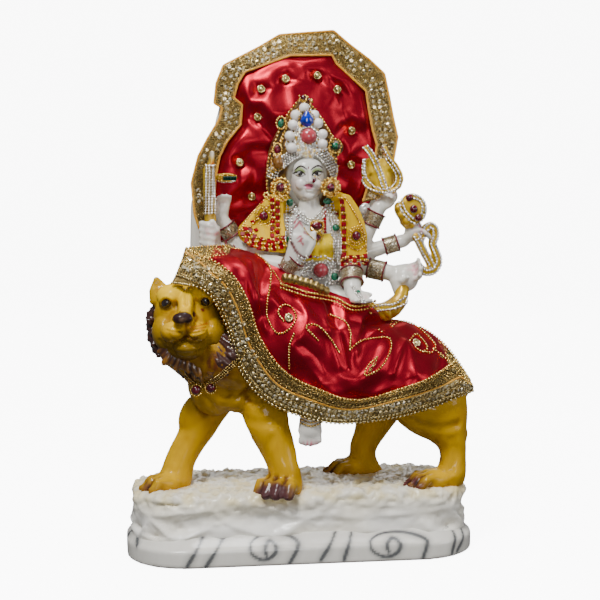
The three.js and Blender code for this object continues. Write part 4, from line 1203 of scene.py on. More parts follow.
def make_cuffs():
    """Glitter bands on the forearms, edged with dark red paint."""
    bands, edges = [], []
    for name, stations in ARMS.items():
        _, elbow, wrist = stations
        start, end = Vector(elbow[:3]), Vector(wrist[:3])
        way = (end - start).normalized()
        length = (end - start).length
        long = {"blessing": 12, "club": 12, "sword": 8, "discus": 9}.get(name, 10)

        def width(along):
            share = along / length
            return CUFF_AT[name][2] - 1 if name in CUFF_AT else elbow[3] * (1 - share) + wrist[3] * share

        low, high = length - 5 - long, length - 5
        if name in CUFF_AT:
            first, last, _ = CUFF_AT[name]
            way = (Vector(last) - Vector(first)).normalized()
            start, low, high = Vector(first), 0, (Vector(last) - Vector(first)).length
        parts = [(*(start + way * t), width(t) + 1.1) for t in (low, (low + high) / 2, high)]
        fresh()
        turn = way.to_track_quat("Z", "Y").to_euler()
        middle = start + way * (low + high) / 2
        ops.mesh.primitive_cylinder_add(vertices=40, radius=parts[1][3] * MM, depth=(high - low) * MM,
            location=middle * MM, rotation=turn)
        band = settle(newest())
        apply(band, "BEVEL", width=0.5 * MM, segments=3)
        bands.append(band)
        for t in (low + 0.3, high - 0.3):
            ops.mesh.primitive_torus_add(major_segments=40, minor_segments=8,
                major_radius=(parts[1][3] + 0.05) * MM, minor_radius=0.62 * MM,
                location=(start + way * t) * MM, rotation=turn)
            edges.append(settle(newest()))
    cuffs = join("cuffs", bands)
    ops.object.shade_smooth_by_angle(angle=radians(40))
    look = Look("silver-gold glitter", {"Roughness": 0.32, "Metallic": 0.75, "Coat Weight": 0.4})
    # Each flake gets its own colour from dark brown to pale gold, partly the glitter's mix and partly
    # painted glints
    flake = look.node("ShaderNodeTexVoronoi", Vector=look.here, Scale=2100.0)
    pick = Value(look, look.node("ShaderNodeSeparateColor", Color=flake.outputs["Color"]).outputs[0])
    look.wear(Base_Color=look.stops(pick, (0, (0.09, 0.055, 0.03)), (0.35, (0.26, 0.19, 0.1)),
         (0.75, (0.46, 0.38, 0.24)), (0.95, (0.9, 0.86, 0.7))), Roughness=pick * -0.35 + 0.6)
    look.bumps(pick, 0.35)
    cast(cuffs, look)
    rims = join("cuff_edges", edges)
    ops.object.shade_smooth()
    look = Look("dark red paint", {"Roughness": 0.35})
    look.wear(Base_Color=look.stops(look.noise(400), (0.3, (0.09, 0.006, 0.008)),
         (0.7, (0.17, 0.012, 0.02))))
    cast(rims, look)


def make_face():
    """The head: a calm doll's face in white enamel with painted features."""
    parts = [ball((5, -4.5, 262), (12.3, 12.6, 17), around=40, down=26),
        ball((5.2, -8.5, 256), (9, 8.6, 10.8), around=32, down=20),
        ball((5.4, -12.2, 251.2), (5.2, 4.6, 4.6)), ball((5, -10, 268), (10.4, 7.4, 8))]
    # Nose, lips, lids, cheeks and chin
    parts.append(limb([(5.4, -16.4, 268, 1.5, 1.6), (5.5, -17.6, 263, 1.5, 1.8),
          (5.6, -18.7, 259.4, 1.9, 1.9)], 14))
    parts += [ball((4, -17.2, 258.6), (1.5, 1.5, 1.2)), ball((7.1, -17.2, 258.6), (1.5, 1.5, 1.2)),
        ball((5.5, -16.9, 254.6), (3.4, 1.5, 1)), ball((5.5, -16.7, 253.2), (2.7, 1.5, 1)),
        ball((0.1, -13.6, 257.6), (4.2, 3.5, 4.4)), ball((10.8, -13.2, 257.6), (4.2, 3.5, 4.4)),
        ball((5.5, -15.2, 249.8), (3.2, 2.4, 2.6)), ball((-0.4, -14.6, 265.2), (3.6, 1.7, 2)),
        ball((11.1, -14.2, 265.2), (3.6, 1.7, 2))]
    head = fuse("goddess_head", parts, 0.45, 2)
    skin = Surface(head)
    press(head, skin.trail([(303.5, 186.2), (308.9, 186), (314.2, 186.2)]), 0.7, 0.5)
    for pixels in ([(294.6, 174.6), (299.6, 171.3), (305, 174.8)],
            [(312.2, 175), (316.4, 171.6), (322, 173.2)]):
        press(head, skin.trail(pixels), 0.8, 0.35)
    points = points_of(head)
    skin = Surface(head)
    dip = hollows(head, 16)

    def stroke(pixels, wide, soft=0.4):
        distance, share = to_path(points, skin.trail(pixels))
        wide = wide * (1 - 0.55 * np.abs(share * 2 - 1) ** 2)
        return ramp(distance, wide * (1 + soft), wide * (1 - soft))

    def patch(x, y, half_x, half_y, soft=0.3):
        at, _ = skin.seen(x, y)
        off = points - np.array(at)
        distance = np.sqrt((off[:, 0] / half_x) ** 2 + (off[:, 2] / half_y) ** 2)
        return ramp(distance, 1 + soft, 1 - soft) * (points[:, 1] < -6)

    black, rose = tint(26, 18, 20), tint(182, 96, 122)
    # Painted shade: grey in the hollows, towards the sides of the face and under the chin; then blush,
    # green eye shadow, eyes, lids, brows, the mark between them, lips and nostrils
    layers = [(ramp(dip, 0.1, 1) * 0.5, tint(150, 146, 142)),
        (ramp(np.abs(points[:, 0] - 5.4), 8.5, 12.5) * 0.55, tint(128, 124, 120)),
        (ramp(points[:, 2], 249, 245) * 0.5, tint(140, 136, 130)),
        (patch(296.5, 184.5, 4, 3.4, 0.9) * 0.16, tint(220, 140, 150)),
        (patch(320, 184.5, 4, 3.4, 0.9) * 0.16, tint(220, 140, 150)),
        (stroke([(295.4, 171.6), (299.5, 169.3), (304.6, 171.8)], 1.5, 0.5) * 0.8, tint(132, 160, 70)),
        (stroke([(312.6, 171.8), (316.8, 169.3), (321.6, 171)], 1.5, 0.5) * 0.8, tint(132, 160, 70)),
        (patch(299.8, 174.1, 2.9, 1), tint(224, 222, 216)),
        (patch(317.2, 173.8, 2.8, 1), tint(224, 222, 216)),
        (patch(300.3, 173.9, 1.5, 1.35, 0.15), black),
        (patch(316.6, 173.6, 1.5, 1.35, 0.15), black),
        (stroke([(292.6, 173.6), (296, 172.3), (299.8, 171.5), (303, 172.7), (305.6, 175)], 0.85), black),
        (stroke([(294.2, 174.4), (299.4, 176.5), (304.8, 175.4)], 0.36), black),
        (stroke([(311.8, 175.2), (314, 172.8), (317, 171.4), (320.4, 171.6), (323.8, 172.2)], 0.85),
         black),
        (stroke([(312.4, 175.4), (317, 176.2), (321.6, 173.6)], 0.36), black),
        (stroke([(294.6, 170.4), (298.3, 167), (302.1, 166.2), (306.9, 169.4)], 0.68), tint(44, 24, 28)),
        (stroke([(310.8, 169.8), (315.3, 166.6), (319.3, 165.8), (322.8, 168.2)], 0.68),
         tint(44, 24, 28)),
        (patch(308.6, 167.8, 0.5, 0.9), tint(96, 20, 30)),
        (patch(308.9, 185.4, 3.3, 1.2, 0.35), rose),
        (patch(308.9, 187.6, 2.6, 1.2, 0.4), tint(196, 112, 132)),
        (stroke([(303.8, 186.4), (308.9, 186.3), (314, 186.4)], 0.35), tint(130, 40, 60)),
        (patch(306.6, 181.8, 0.5, 0.35), tint(130, 90, 86)),
        (patch(311, 181.8, 0.5, 0.35), tint(130, 90, 86))]
    paint(head, coats(points, tint(228, 225, 218), *layers))
    return cast(head, enamel("face enamel", 0.24, 0.4, 0.02))


HOOD = [
    (2, 4, 240, 20, 9), (2, 4, 252, 23, 12), (2.5, 3, 268, 25, 15), (3.5, 1, 284, 23, 15),
    (3.5, 1, 297, 16.5, 13), (3.5, 2, 308, 9.5, 9), (3.5, 2, 315, 4, 4)]


def make_hood():
    """The dark hood and crown behind the face, with the opening cut out of it."""
    hood = fuse("hood", [limb(eased(HOOD), 32), ball((26.5, -2, 283), (5, 5, 5.4))], 0.9, 3)
    opening = ball((5, -19, 258.5), (13.8, 17, 19), around=40, down=24)
    apply(hood, "BOOLEAN", operation="DIFFERENCE", object=opening, solver="EXACT")
    discard(opening)
    apply(hood, "REMESH", mode="VOXEL", voxel_size=0.9 * MM)
    apply(hood, "SMOOTH", factor=0.5, iterations=2)
    ops.object.shade_smooth()
    points = points_of(hood)
    fold = np.sin(np.arctan2(points[:, 1] - 2, points[:, 0] - 3) * 26 + points[:, 2] * 0.05)
    points = swell(hood, points, fold * 0.35 * ramp(points[:, 1], -4, 6) + speckle(points, 3, 4) * 0.2)
    inner = np.linalg.norm((points - (5, -19, 258.5)) / (13.8, 17, 19), axis=1)
    inside = ramp(inner, 1.3, 1.16) * ramp(points[:, 1], 6, 0)
    # Dark gold, with painted shade in the hollows, darker towards the back, and the white inside of the
    # opening greyed as painted shade
    paint(hood, coats(points, tint(70, 46, 18),
         (ramp(speckle(points, 3.2, 6), 0, 0.6) * 0.7, tint(120, 88, 26)),
         (ramp(hollows(hood, 6), 0.05, 0.4) * 0.6, tint(34, 20, 12)),
         (ramp(points[:, 1], 4, 10) * 0.75, tint(60, 30, 16)), (inside, tint(150, 146, 136))))
    return cast(hood, enamel("veil gold", 0.34, 0.3, 0.2))


# The back plate and the things in the hands

def slab(outline, front, back):
    """A plate of that outline (x, z) between two depths."""
    fresh()
    ops.mesh.primitive_circle_add(vertices=len(outline), radius=MM, fill_type="NGON")
    piece = newest()
    for vertex, (x, z) in zip(piece.data.vertices, outline):
        vertex.co = (x * MM, front * MM, z * MM)
    open_mesh()
    ops.mesh.extrude_region_move(TRANSFORM_OT_translate={"value": (0, (back - front) * MM, 0)})
    close_mesh()
    return piece


PLATE = [
    (-48, 132), (-66, 160), (-74, 190), (-74.5, 214), (-73.5, 242), (-70, 262), (-60, 285), (-53, 312),
    (-47, 334), (-28, 349), (-8, 359), (26, 362), (46, 350), (64, 329), (68, 305), (71, 284), (67, 262),
    (56, 232), (50, 200), (46, 165), (40, 132)]


def make_back_plate():
    """The white cast plate behind the goddess, with a moulded rim and ribs on its plain back."""
    plate = fuse("back_plate", [slab(PLATE, 24, 33), ball((4, 15, 178), (30, 15, 27))], 2.6, 2)
    points, normals = points_of(plate), normals_of(plate)
    rim, _ = to_path(points * (1, 0, 1), [(x, 0, z) for x, z in PLATE])
    rays = np.cos(np.arctan2(points[:, 2] - 200, points[:, 0] - 2) * 18)
    behind = ramp(normals[:, 1], 0.3, 0.9)
    off = behind * (ramp(rim, 9, 5) * 0.9 + rays * 0.35 * ramp(rim, 9, 16) * ramp(points[:, 2], 180, 220))
    points = swell(plate, points, off + speckle(points, 12, 3) * 0.25)
    # Random grey tone, and grey painted shade in the hollows
    paint(plate, coats(points, WHITE, (ramp(speckle(points, 20, 5), 0, 0.7) * 0.3, tint(206, 202, 194)),
         (ramp(hollows(plate, 8), 0.05, 0.4) * 0.4, tint(178, 172, 164))))
    return cast(plate, enamel("plate enamel", 0.3, 0.25, 0.08))


SHAWL_LEFT = [
    (-13, 247), (-17.5, 250), (-20, 251), (-27, 245), (-43, 228), (-43.5, 223), (-42, 219), (-36, 215.5),
    (-30, 213), (-20, 211.5), (-12, 211)]
SHAWL_RIGHT = [
    (27, 250), (30, 251), (33.5, 250), (38, 243), (41, 238), (44, 230), (45.5, 222), (45.5, 205),
    (28, 206)]


def make_shawl():
    """Two stiff painted panels that hang from the shoulders."""
    parts = [slab(SHAWL_LEFT, -19.4, -4), slab(SHAWL_RIGHT, -19, -4), ball((-14, -5, 244), (9, 9, 8)),
        ball((27, -5, 245), (8, 9, 7))]
    shawl = fuse("shawl", parts, 0.9, 3)
    points = points_of(shawl)
    fold = np.sin(points[:, 0] * 0.9 + points[:, 2] * 0.28) * 0.3
    points = swell(shawl, points, fold * ramp(points[:, 1], -15, -19))
    back = ramp(points[:, 1], -12, -8)
    hang = ramp(points[:, 2], 236, 214) * ramp(points[:, 0], -2, -12)
    move_to(shawl, points - np.outer(hang * 8 * (1 - 0.5 * back), (0, 1, 0)))
    # Yellow with a random darker tone, painted shade in the hollows, and darker towards the back
    paint(shawl, coats(points, tint(222, 178, 0),
         (ramp(speckle(points, 5, 3), 0, 0.6) * 0.3, tint(198, 148, 0)),
         (ramp(hollows(shawl, 8), 0.05, 0.5) * 0.7, tint(132, 92, 0)), (back * 0.7, tint(170, 128, 0))))
    return cast(shawl, enamel("shawl enamel", 0.5, 0, 0.12, 0.15, 0.2))


TRIDENT = [
    [(60, 251), (54, 252), (49.5, 255), (46.5, 259.5), (45.2, 265), (45.4, 270), (46.2, 274)],
    [(60, 251), (66, 252.5), (70.5, 256), (72.2, 260.5), (71.2, 265), (68, 270.5), (63.5, 276), (61, 280),
     (60.2, 283)],
    [(60.5, 252), (59, 258), (57, 264.5), (54.6, 271), (52, 276.5), (49.4, 280), (46.8, 283)]]
WEB = [
    (46, 262), (50, 254.5), (56, 252), (64, 253), (70, 257), (71, 263), (68, 270), (62, 275), (57, 275.5),
    (55, 271.5), (51, 276), (47, 275), (45.8, 268)]
DISCUS = (-50.5, 2, 262)
BOW = [
    (86, -4, 218), (88.4, -4, 222.5), (90.5, -4, 226.5), (93.4, -4, 228), (96.2, -4, 226),
    (96.7, -4, 220.5), (95, -4, 215.2), (97, -4, 210.2), (99, -4, 205), (98.6, -4, 199.8),
    (94.8, -4.5, 195.8), (89.3, -5.5, 195.4), (84.4, -7.5, 199.2)]
GRIP = [(82.8, -5, 221), (86.2, -5, 214.5), (89.6, -5, 208), (92.6, -4.5, 203), (94.5, -4, 199)]
CLUB = [
    (73, -9, 184, 4.8), (71.5, -11, 179, 5), (69, -13, 175, 6), (64, -16, 171, 6.8), (58, -20, 169, 6.8),
    (52.5, -23.5, 170, 5.6), (48.5, -26, 172, 4.2), (45.5, -28, 174.5, 2.6)]


def make_held_things():
    """Sword, discus, trident, flower, bow and club, painted gold."""
    parts = [limb([(-62.5, -9, 232, 4.2, 2), (-63.6, -9, 256, 4.2, 1.8), (-63.8, -8, 268, 4, 1.6),
          (-61.6, -8, 272.5, 2.4, 1.4), (-61, -8, 279.5, 1.8, 1.2)], 14)]
    fresh()
    ops.mesh.primitive_cylinder_add(vertices=40, radius=7.6 * MM, depth=4.4 * MM,
        rotation=degrees((96, 0, 0)), location=Vector(DISCUS) * MM)
    disc = settle(newest())
    place = Matrix.Translation(Vector(DISCUS) * MM)
    disc.data.transform(place @ Matrix.Diagonal((1, 1, 0.42, 1)) @ place.inverted())
    parts.append(disc)
    for outline, wide in zip(TRIDENT, (1.9, 1.9, 2)):
        parts += [limb([(x, -5.2, z, wide, 1.6), (x2, -5.2, z2, wide, 1.6)], 10)
            for (x, z), (x2, z2) in zip(outline, outline[1:])]
    parts.append(slab(WEB, -4.4, -1.8))
    parts += [ball((81, -5, 240.5), (9.6, 5.5, 11), (0, -28, 0)),
        ball((74, -3, 237), (5, 5, 9), (0, -34, 0)),
        limb([(76, -3, 232, 5), (80, -2, 227, 4), (82, -2, 223, 3)], 14)]
    for at, size in (((70, -6.5, 241), 2.6), ((72.4, -7, 236), 3), ((75.6, -7, 231.4), 3.2),
            ((79.4, -6.4, 228.6), 2.4)):
        parts.append(ball(at, (size, size, size)))
    parts += [limb([(*a, r), (*b, r)], 12) for line, r in ((BOW, 3.3), (GRIP, 3))
        for a, b in zip(line, line[1:])]
    parts += [limb([a, b], 14) for a, b in zip(CLUB, CLUB[1:])]
    held = fuse("held_things", parts, 0.8, 2)
    things = Surface(held)
    carve(held, things, (*((run, 2, 1)
          for run in ([(402, 318), (396, 309)], [(396, 321), (390, 311)], [(389, 322), (383, 313)],
           [(405, 311), (399, 303)])), ([(371, 176), (373, 184), (375, 189)], 2.6, 1.6),
         ([(390, 172), (394, 178), (393, 185)], 2.6, 1.6)))
    points = points_of(held)
    points = swell(held, points, speckle(points, 3, 4) * 0.15)
    dip = hollows(held, 8)
    blade = near(points, (-63, -8, 250), (9, 8, 40)) * 0.8
    web = near(points, (58, -4, 264), (15, 5, 14))
    olive = near(points, (58, -18, 172), (26, 16, 16)) * 0.7
    brown = near(points, at_depth(393, 178, -5), (4, 6, 7)) + near(points, at_depth(373, 186, -5),
        (2.6, 5, 5))
    # Painted shade: brown in the hollows and in the trident's two carved grooves; the rest is paint: gold,
    # the yellow web, the blade, the olive club, and the sword's pale and orange tip
    paint(held, coats(points, tint(214, 172, 30),
         (ramp(speckle(points, 6, 3), 0, 0.6) * 0.5, tint(176, 126, 20)),
         (ramp(dip, 0.05, 0.5) * 0.8, tint(96, 58, 12)), (web, tint(248, 208, 30)),
         (brown * 0.9, tint(92, 56, 12)), (blade, tint(140, 112, 58)), (olive, tint(150, 112, 16)),
         (near(points, (-61, -8, 279), (5, 8, 5)), tint(214, 206, 186)),
         (near(points, (-60.5, -9, 271), (3, 6, 4)), tint(206, 96, 20))))
    look = enamel("gold paint", 0.3, 0.3, 0.1)
    look.skin.inputs["Metallic"].default_value = 0.35
    return cast(held, look)


# Satin and lace

SKIRT_TOP = [
    (-80, -14, 214), (-52, -13, 215), (-33, -23, 211), (-13, -36, 199.5), (14, -40, 186.5),
    (40, -38, 177), (60, -20, 166), (78, -8, 160), (92, -6, 153), (103, -8, 143.5), (110.5, -12, 133),
    (118.5, -19, 118.5)]
SKIRT_HEM = [
    (-92, -42, 191), (-70, -52, 188), (-56, -48, 166), (-48, -44, 138), (-32, -46, 115), (-8, -50, 103),
    (20, -52, 97), (53, -50, 99), (80, -44, 103), (104, -36, 109.5), (119, -27, 113)]
SWELL = [(0,), (4,), (12,), (14,), (14,), (12,), (8,), (6,), (3,), (1,), (0,)]
HEM_WIDTHS = [(37,), (30,), (26,), (25,), (25,), (25,), (25,), (34,), (39,), (34,), (27,)]


def skirt_at(u, v):
    """The skirt's surface: u runs from the lion's head to its rump and v from the waist to the hem."""
    u, v = np.asarray(u, float), np.asarray(v, float)
    top, hem = through(SKIRT_TOP, u), through(SKIRT_HEM, u)
    forward = np.sin(np.minimum(v / 0.55, 1) * pi / 2)
    fall = np.sin(np.minimum(v, 1) * pi)
    folds = 1.6 * fall * np.sin(u * 34 + v * 3) * ramp(u, 0.2, 0.35) * (1 - ramp(u, 0.85, 1))
    return np.stack([top[..., 0] + (hem[..., 0] - top[..., 0]) * v,
         top[..., 1] + (hem[..., 1] - top[..., 1]) * forward - through(SWELL, u)[..., 0] * fall - folds,
         top[..., 2] + (hem[..., 2] - top[..., 2]) * v], -1)


def lace_start(u):
    """Where on the way from waist to hem the lace begins."""
    drop = np.linalg.norm(through(SKIRT_TOP, u) - through(SKIRT_HEM, u), axis=-1)
    return np.maximum(0.04, 1 - through(HEM_WIDTHS, u)[..., 0] / drop)


def outward(where, u, v, step=1e-3):
    """The direction out of a surface where(u, v), towards the viewer's side."""
    across = where(np.minimum(u + step, 1), v) - where(np.maximum(u - step, 0), v)
    down = where(u, np.minimum(v + step, 1)) - where(u, np.maximum(v - step, 0))
    out = np.cross(down, across)
    return out / np.maximum(np.linalg.norm(out, axis=-1, keepdims=True), 1e-12)


class Ribbon:
    """A band of lace between two edges, measured in millimetres along it and as a share across it."""

    def __init__(self, where, turned=1):
        self.where, self.turned = where, turned
        fine = np.linspace(0, 1, 600)
        middle = where(fine, np.full(600, 0.5))
        run = np.concatenate([[0], np.cumsum(np.linalg.norm(np.diff(middle, axis=0), axis=1))])
        self.length, self.fine, self.run = run[-1], fine, run

    def at(self, along, share, lift=0.0):
        along, share = np.broadcast_arrays(np.asarray(along, float), np.asarray(share, float))
        u = np.interp(along, self.run, self.fine)
        out = self.turned * outward(self.where, u, share, 4e-3)
        return self.where(u, share) + out * np.asarray(lift)[..., None], out

    def steps(self, pitch):
        return np.arange(0, self.length, pitch)

    def row(self, share, pitch, lift, wave=0.0, swing=7.0, start=0.0):
        """Places for beads in a row."""
        along = np.arange(start + pitch / 2, self.length, pitch)
        share = share + wave * np.sin(along / swing)
        points, out = self.at(along, share, lift)
        return list(zip(points, out))

    def path(self, along, share, lift):
        return [Vector(p) for p in self.at(along, share, lift)[0]]


def bead():
    fresh()
    ops.mesh.primitive_uv_sphere_add(segments=7, ring_count=4, radius=MM)
    ops.object.shade_smooth()
    return newest()


def seed():
    """The smallest beads."""
    fresh()
    ops.mesh.primitive_ico_sphere_add(subdivisions=1, radius=MM)
    ops.object.shade_smooth()
    return newest()


def mirror_disc():
    """A flat sequin with a turned-up rim."""
    fresh()
    ops.mesh.primitive_cone_add(vertices=9, radius1=MM, radius2=0.62 * MM, depth=0.6 * MM)
    return newest()


def square_stone():
    """A square stone with sloped sides."""
    fresh()
    ops.mesh.primitive_cone_add(vertices=4, radius1=1.3 * MM, radius2=0.95 * MM, depth=0.8 * MM,
        rotation=(0, 0, pi / 4))
    return settle(newest())


def metal(name, colour, dark, rough=0.24, scale=500):
    look = Look(name, {"Metallic": 1.0})
    tone = look.noise(scale, 2)
    look.wear(Base_Color=look.stops(tone, (0.3, dark), (0.62, colour)),
        Roughness=tone * 0.2 + (rough - 0.1))
    return look.bumps(look.noise(1600, 2), 0.04)


def gem(name, colour, deep, rough=0.05, coat=0.5, shine=0.6):
    look = Look(name, {"Roughness": rough, "Coat Weight": coat, "Coat Roughness": 0.02,
         "Specular IOR Level": shine})
    look.wear(Base_Color=look.stops(look.noise(380, 2), (0.35, deep), (0.65, colour)))
    return look


# Brightness steps for stones and sequins, from dark to near white; the spread stands partly for painted
# glints and reflections
SILVER_STOPS = ((0, (0.4, 0.4, 0.39)), (0.25, (0.8, 0.79, 0.76)), (1, (0.98, 0.97, 0.94)))
SEQUIN_STOPS = (
    (0, (0.05, 0.034, 0.008)), (0.4, (0.34, 0.23, 0.07)), (0.72, (0.78, 0.63, 0.32)),
    (1, (0.98, 0.94, 0.8)))


def foil(name, stops=SILVER_STOPS):
    """Silver-backed cut stones and sequins, each with its own brightness from dark to bright: partly their
    own tone, partly painted glints and reflections.
    """
    look = Look(name, {"Metallic": 0.5, "Roughness": 0.2, "Coat Weight": 0.5})
    facet = look.node("ShaderNodeTexVoronoi", Vector=look.here, Scale=900.0)
    pick = Value(look, look.node("ShaderNodeSeparateColor", Color=facet.outputs["Color"]).outputs[0])
    look.wear(Base_Color=look.stops(pick, *stops))
    return look


def satin(name):
    """Red satin: threads run one way, so that its shine is tinted and drawn out."""
    look = Look(name, {"Metallic": 0.78, "Specular Tint": (1, 0.25, 0.28), "Sheen Weight": 0.12,
         "Sheen Roughness": 0.4, "Sheen Tint": (1, 0.3, 0.32)})
    tone = look.noise(60, 3)
    thread = look.noise(2600, 2, (1, 1, 0.08))
    look.wear(Base_Color=look.stops(tone, (0.3, (0.29, 0.007, 0.017)), (0.7, (0.38, 0.011, 0.025))),
        Roughness=thread * 0.1 + 0.3)
    return look.bumps(thread * 0.25 + look.noise(90, 2) * 0.2, 0.1)


def drape(piece, pins, grow, stiff, frames=26):
    """A little too much cloth between its pinned points: it buckles into folds."""
    group = piece.vertex_groups.new(name="pinned")
    for index in np.nonzero(pins > 0.02)[0]:
        group.add([int(index)], float(min(pins[index], 1)), "REPLACE")
    only(piece)
    modifier = piece.modifiers.new("Cloth", "CLOTH")
    cloth = modifier.settings
    cloth.quality = 6
    cloth.mass = 0.15
    cloth.tension_stiffness = cloth.compression_stiffness = 18
    cloth.shear_stiffness = 8
    cloth.bending_stiffness = stiff
    cloth.tension_damping = cloth.compression_damping = 12
    cloth.air_damping = 3
    cloth.vertex_group_mass = "pinned"
    cloth.pin_stiffness = 4
    cloth.shrink_min = cloth.shrink_max = -grow
    cloth.effector_weights.gravity = 0.0
    modifier.collision_settings.use_collision = False
    modifier.point_cache.frame_start, modifier.point_cache.frame_end = 1, frames
    for frame in range(1, frames + 1):
        bpy.context.scene.frame_set(frame)
    ops.object.modifier_apply(modifier=modifier.name)
    bpy.context.scene.frame_set(1)
    piece.vertex_groups.clear()
    return piece


SKIRT_FOLDS = [
    ([(331, 303), (337, 322), (343, 345), (348, 368)], 5, 2.6),
    ([(362, 322), (356, 340), (350, 366)], 4.5, -1.2), ([(322, 305), (328, 330), (340, 366)], 3.6, -1.4),
    ([(266, 268), (260, 290), (262, 316)], 5, 1.8), ([(250, 262), (256, 290), (266, 330)], 4.5, -1.6),
    ([(276, 290), (284, 300), (300, 312)], 4, 1.3), ([(300, 302), (308, 320), (300, 340)], 4, -1.4),
    ([(302, 345), (318, 358), (326, 372)], 4.5, 1.4), ([(292, 345), (306, 362), (322, 384)], 4, -1.2),
    ([(405, 341), (398, 356), (392, 374)], 3.5, -1.6), ([(408, 345), (412, 360), (416, 374)], 3.5, -1.4),
    ([(392, 318), (372, 324), (352, 320)], 4.5, 1.4), ([(386, 326), (370, 336), (356, 352)], 4.5, -1.2),
    ([(430, 330), (440, 350), (448, 368)], 4.5, -1), ([(378, 345), (372, 360), (356, 376)], 4.5, 1),
    ([(236, 258), (248, 274), (254, 300)], 4.5, -1.2), ([(312, 306), (322, 318), (330, 322)], 3.5, 1.2)]


def make_skirt():
    """The red satin over the rider's knees and the lion's back."""
    columns, rows = 52, 20

    def where(u, v):
        share = v * (lace_start(u) + 0.05)
        return skirt_at(u, share) - 0.5 * outward(skirt_at, u, share)

    skirt = grid("skirt", columns, rows, where)
    base, normals = points_of(skirt), normals_of(skirt)
    if normals[:, 1].mean() > 0:
        turn_over()
        normals = normals_of(skirt)
    u = np.repeat(np.linspace(0, 1, columns + 1)[None], rows + 1, 0).ravel()
    v = np.repeat(np.linspace(0, 1, rows + 1)[:, None], columns + 1, 1).ravel()
    # Folds fan out from where the cloth is caught above the hem, and fall from the knee
    caught = np.array(at_depth(348, 392, -60))
    fan = np.arctan2(base[:, 0] - caught[0], base[:, 2] - caught[2])
    away = np.linalg.norm((base - caught) * (1, 0, 1), axis=1)
    start = 1.0 * np.cos(fan * 7 + 0.4) * ramp(away, 64, 34) * ramp(away, 6, 16)
    start = start + speckle(base, 34, 21) * 2.0
    loose = ramp(v, 0, 0.14) * ramp(v, 1, 0.88) * ramp(u, 0, 0.06) * ramp(u, 1, 0.95)
    move_to(skirt, base + normals * (start * loose)[:, None])
    pins = np.maximum.reduce([ramp(v, 0.04, 0), ramp(v, 0.94, 0.99), ramp(u, 0.02, 0), ramp(u, 0.985, 1)])
    for at in ((288.5, 318), (415.7, 343.6), (350, 352), (277, 333)):
        pins = np.maximum(pins, near(base, at_depth(*at, -56), (6, 30, 6)))
    drape(skirt, pins, 0.045, 5)
    moved = points_of(skirt)
    off = ((moved - base) * normals).sum(1)
    slide = moved - base - normals * off[:, None]
    move_to(skirt, base + slide * 0.6 + normals * (np.clip(off, -1.4, 4.2))[:, None])
    apply(skirt, "SUBSURF", levels=2, render_levels=2)
    # Deep pulls in the cloth, and the ridges beside them
    carve(skirt, Surface(skirt), ((pixels, width * 1.5, depth * 1.15)
         for pixels, width, depth in SKIRT_FOLDS), facing=FRONT, crisp=True)
    apply(skirt, "SOLIDIFY", thickness=SATIN_THICK * MM, offset=-1)
    ops.object.shade_smooth()
    return finish(skirt, satin("red satin"), "red_satin", "skirt_satin")


ARCH_OUTER = [
    (-66, 219), (-72, 236), (-74, 258), (-69, 277), (-62, 290), (-54, 303), (-52, 311), (-57.5, 314),
    (-56, 328), (-51, 340.5), (-25, 354), (-11, 362.5), (28, 366), (39, 357), (54, 346), (65, 336),
    (69, 319), (72, 304), (75, 291), (71.5, 271), (64, 247)]
ARCH_INNER = [
    (-57, 219), (-58, 236), (-56, 262), (-53, 277), (-48, 287), (-38, 299), (-37, 313), (-43, 318),
    (-40, 328), (-35, 336), (-21, 341), (-3, 347.5), (27, 348), (30, 342), (41, 332), (51, 323),
    (53, 311), (56, 296), (59, 285), (57, 268), (49, 244)]
SILLS = [(44, 228), (20, 222), (-10, 218), (-34, 214), (-50, 214)]
STUDS = [
    (-7.3, 331), (14.8, 333), (-25, 323.3), (31.3, 324.4), (-28, 304.4), (39.4, 296.3), (40.2, 272),
    (-39.8, 272.8), (-29.8, 249.6)]
PUFFS = [
    (252, 81), (276, 86), (285, 69), (302, 66), (311, 82), (325, 72), (342, 80), (353, 97), (334, 95),
    (324, 109), (341, 107), (357, 117), (359, 134), (342, 134), (262, 101), (246, 102), (267, 113),
    (242, 119), (262, 129), (232, 135), (250, 150), (230, 157), (255, 167), (254, 183), (349, 154),
    (352, 174), (342, 168), (240, 186), (262, 148)]
BACKDROP_CREASES = [
    ([(298, 62), (292, 84), (300, 98)], 2.4, -1.6), ([(322, 66), (316, 88), (310, 100)], 2.6, 1.5),
    ([(262, 96), (276, 106), (290, 116)], 2.6, -1.8), ([(248, 78), (268, 92), (290, 106)], 3, 1.6),
    ([(343, 120), (334, 96), (336, 78)], 2.2, -1.6), ([(343, 120), (356, 106), (364, 92)], 2.2, -1.8),
    ([(343, 120), (322, 108), (308, 106)], 2.2, -1.8), ([(343, 120), (332, 130), (322, 136)], 2.4, -1.4),
    ([(343, 120), (354, 130), (370, 134)], 2.2, -1.8), ([(346, 124), (350, 138), (356, 150)], 2.2, 1.6),
    ([(338, 112), (326, 116), (316, 114)], 2.4, 1.6), ([(350, 114), (360, 104), (366, 100)], 2.2, 1.4),
    ([(222, 148), (242, 151), (264, 147)], 2.2, -2), ([(222, 154), (244, 158), (264, 155)], 2.4, 1.8),
    ([(240, 118), (254, 130), (272, 136)], 2.6, -1.6), ([(236, 124), (252, 138), (268, 144)], 2.6, 1.6),
    ([(256, 196), (244, 180), (232, 168)], 2.8, 1.4), ([(346, 130), (348, 160), (350, 198)], 2.4, -1.6),
    ([(340, 136), (342, 160), (344, 190)], 2.6, 1.4), ([(262, 66), (256, 80), (250, 92)], 2.4, -1.4),
    ([(244, 160), (256, 172), (268, 178)], 2.6, -1.2), ([(360, 150), (358, 170), (360, 186)], 2.4, 1.2)]


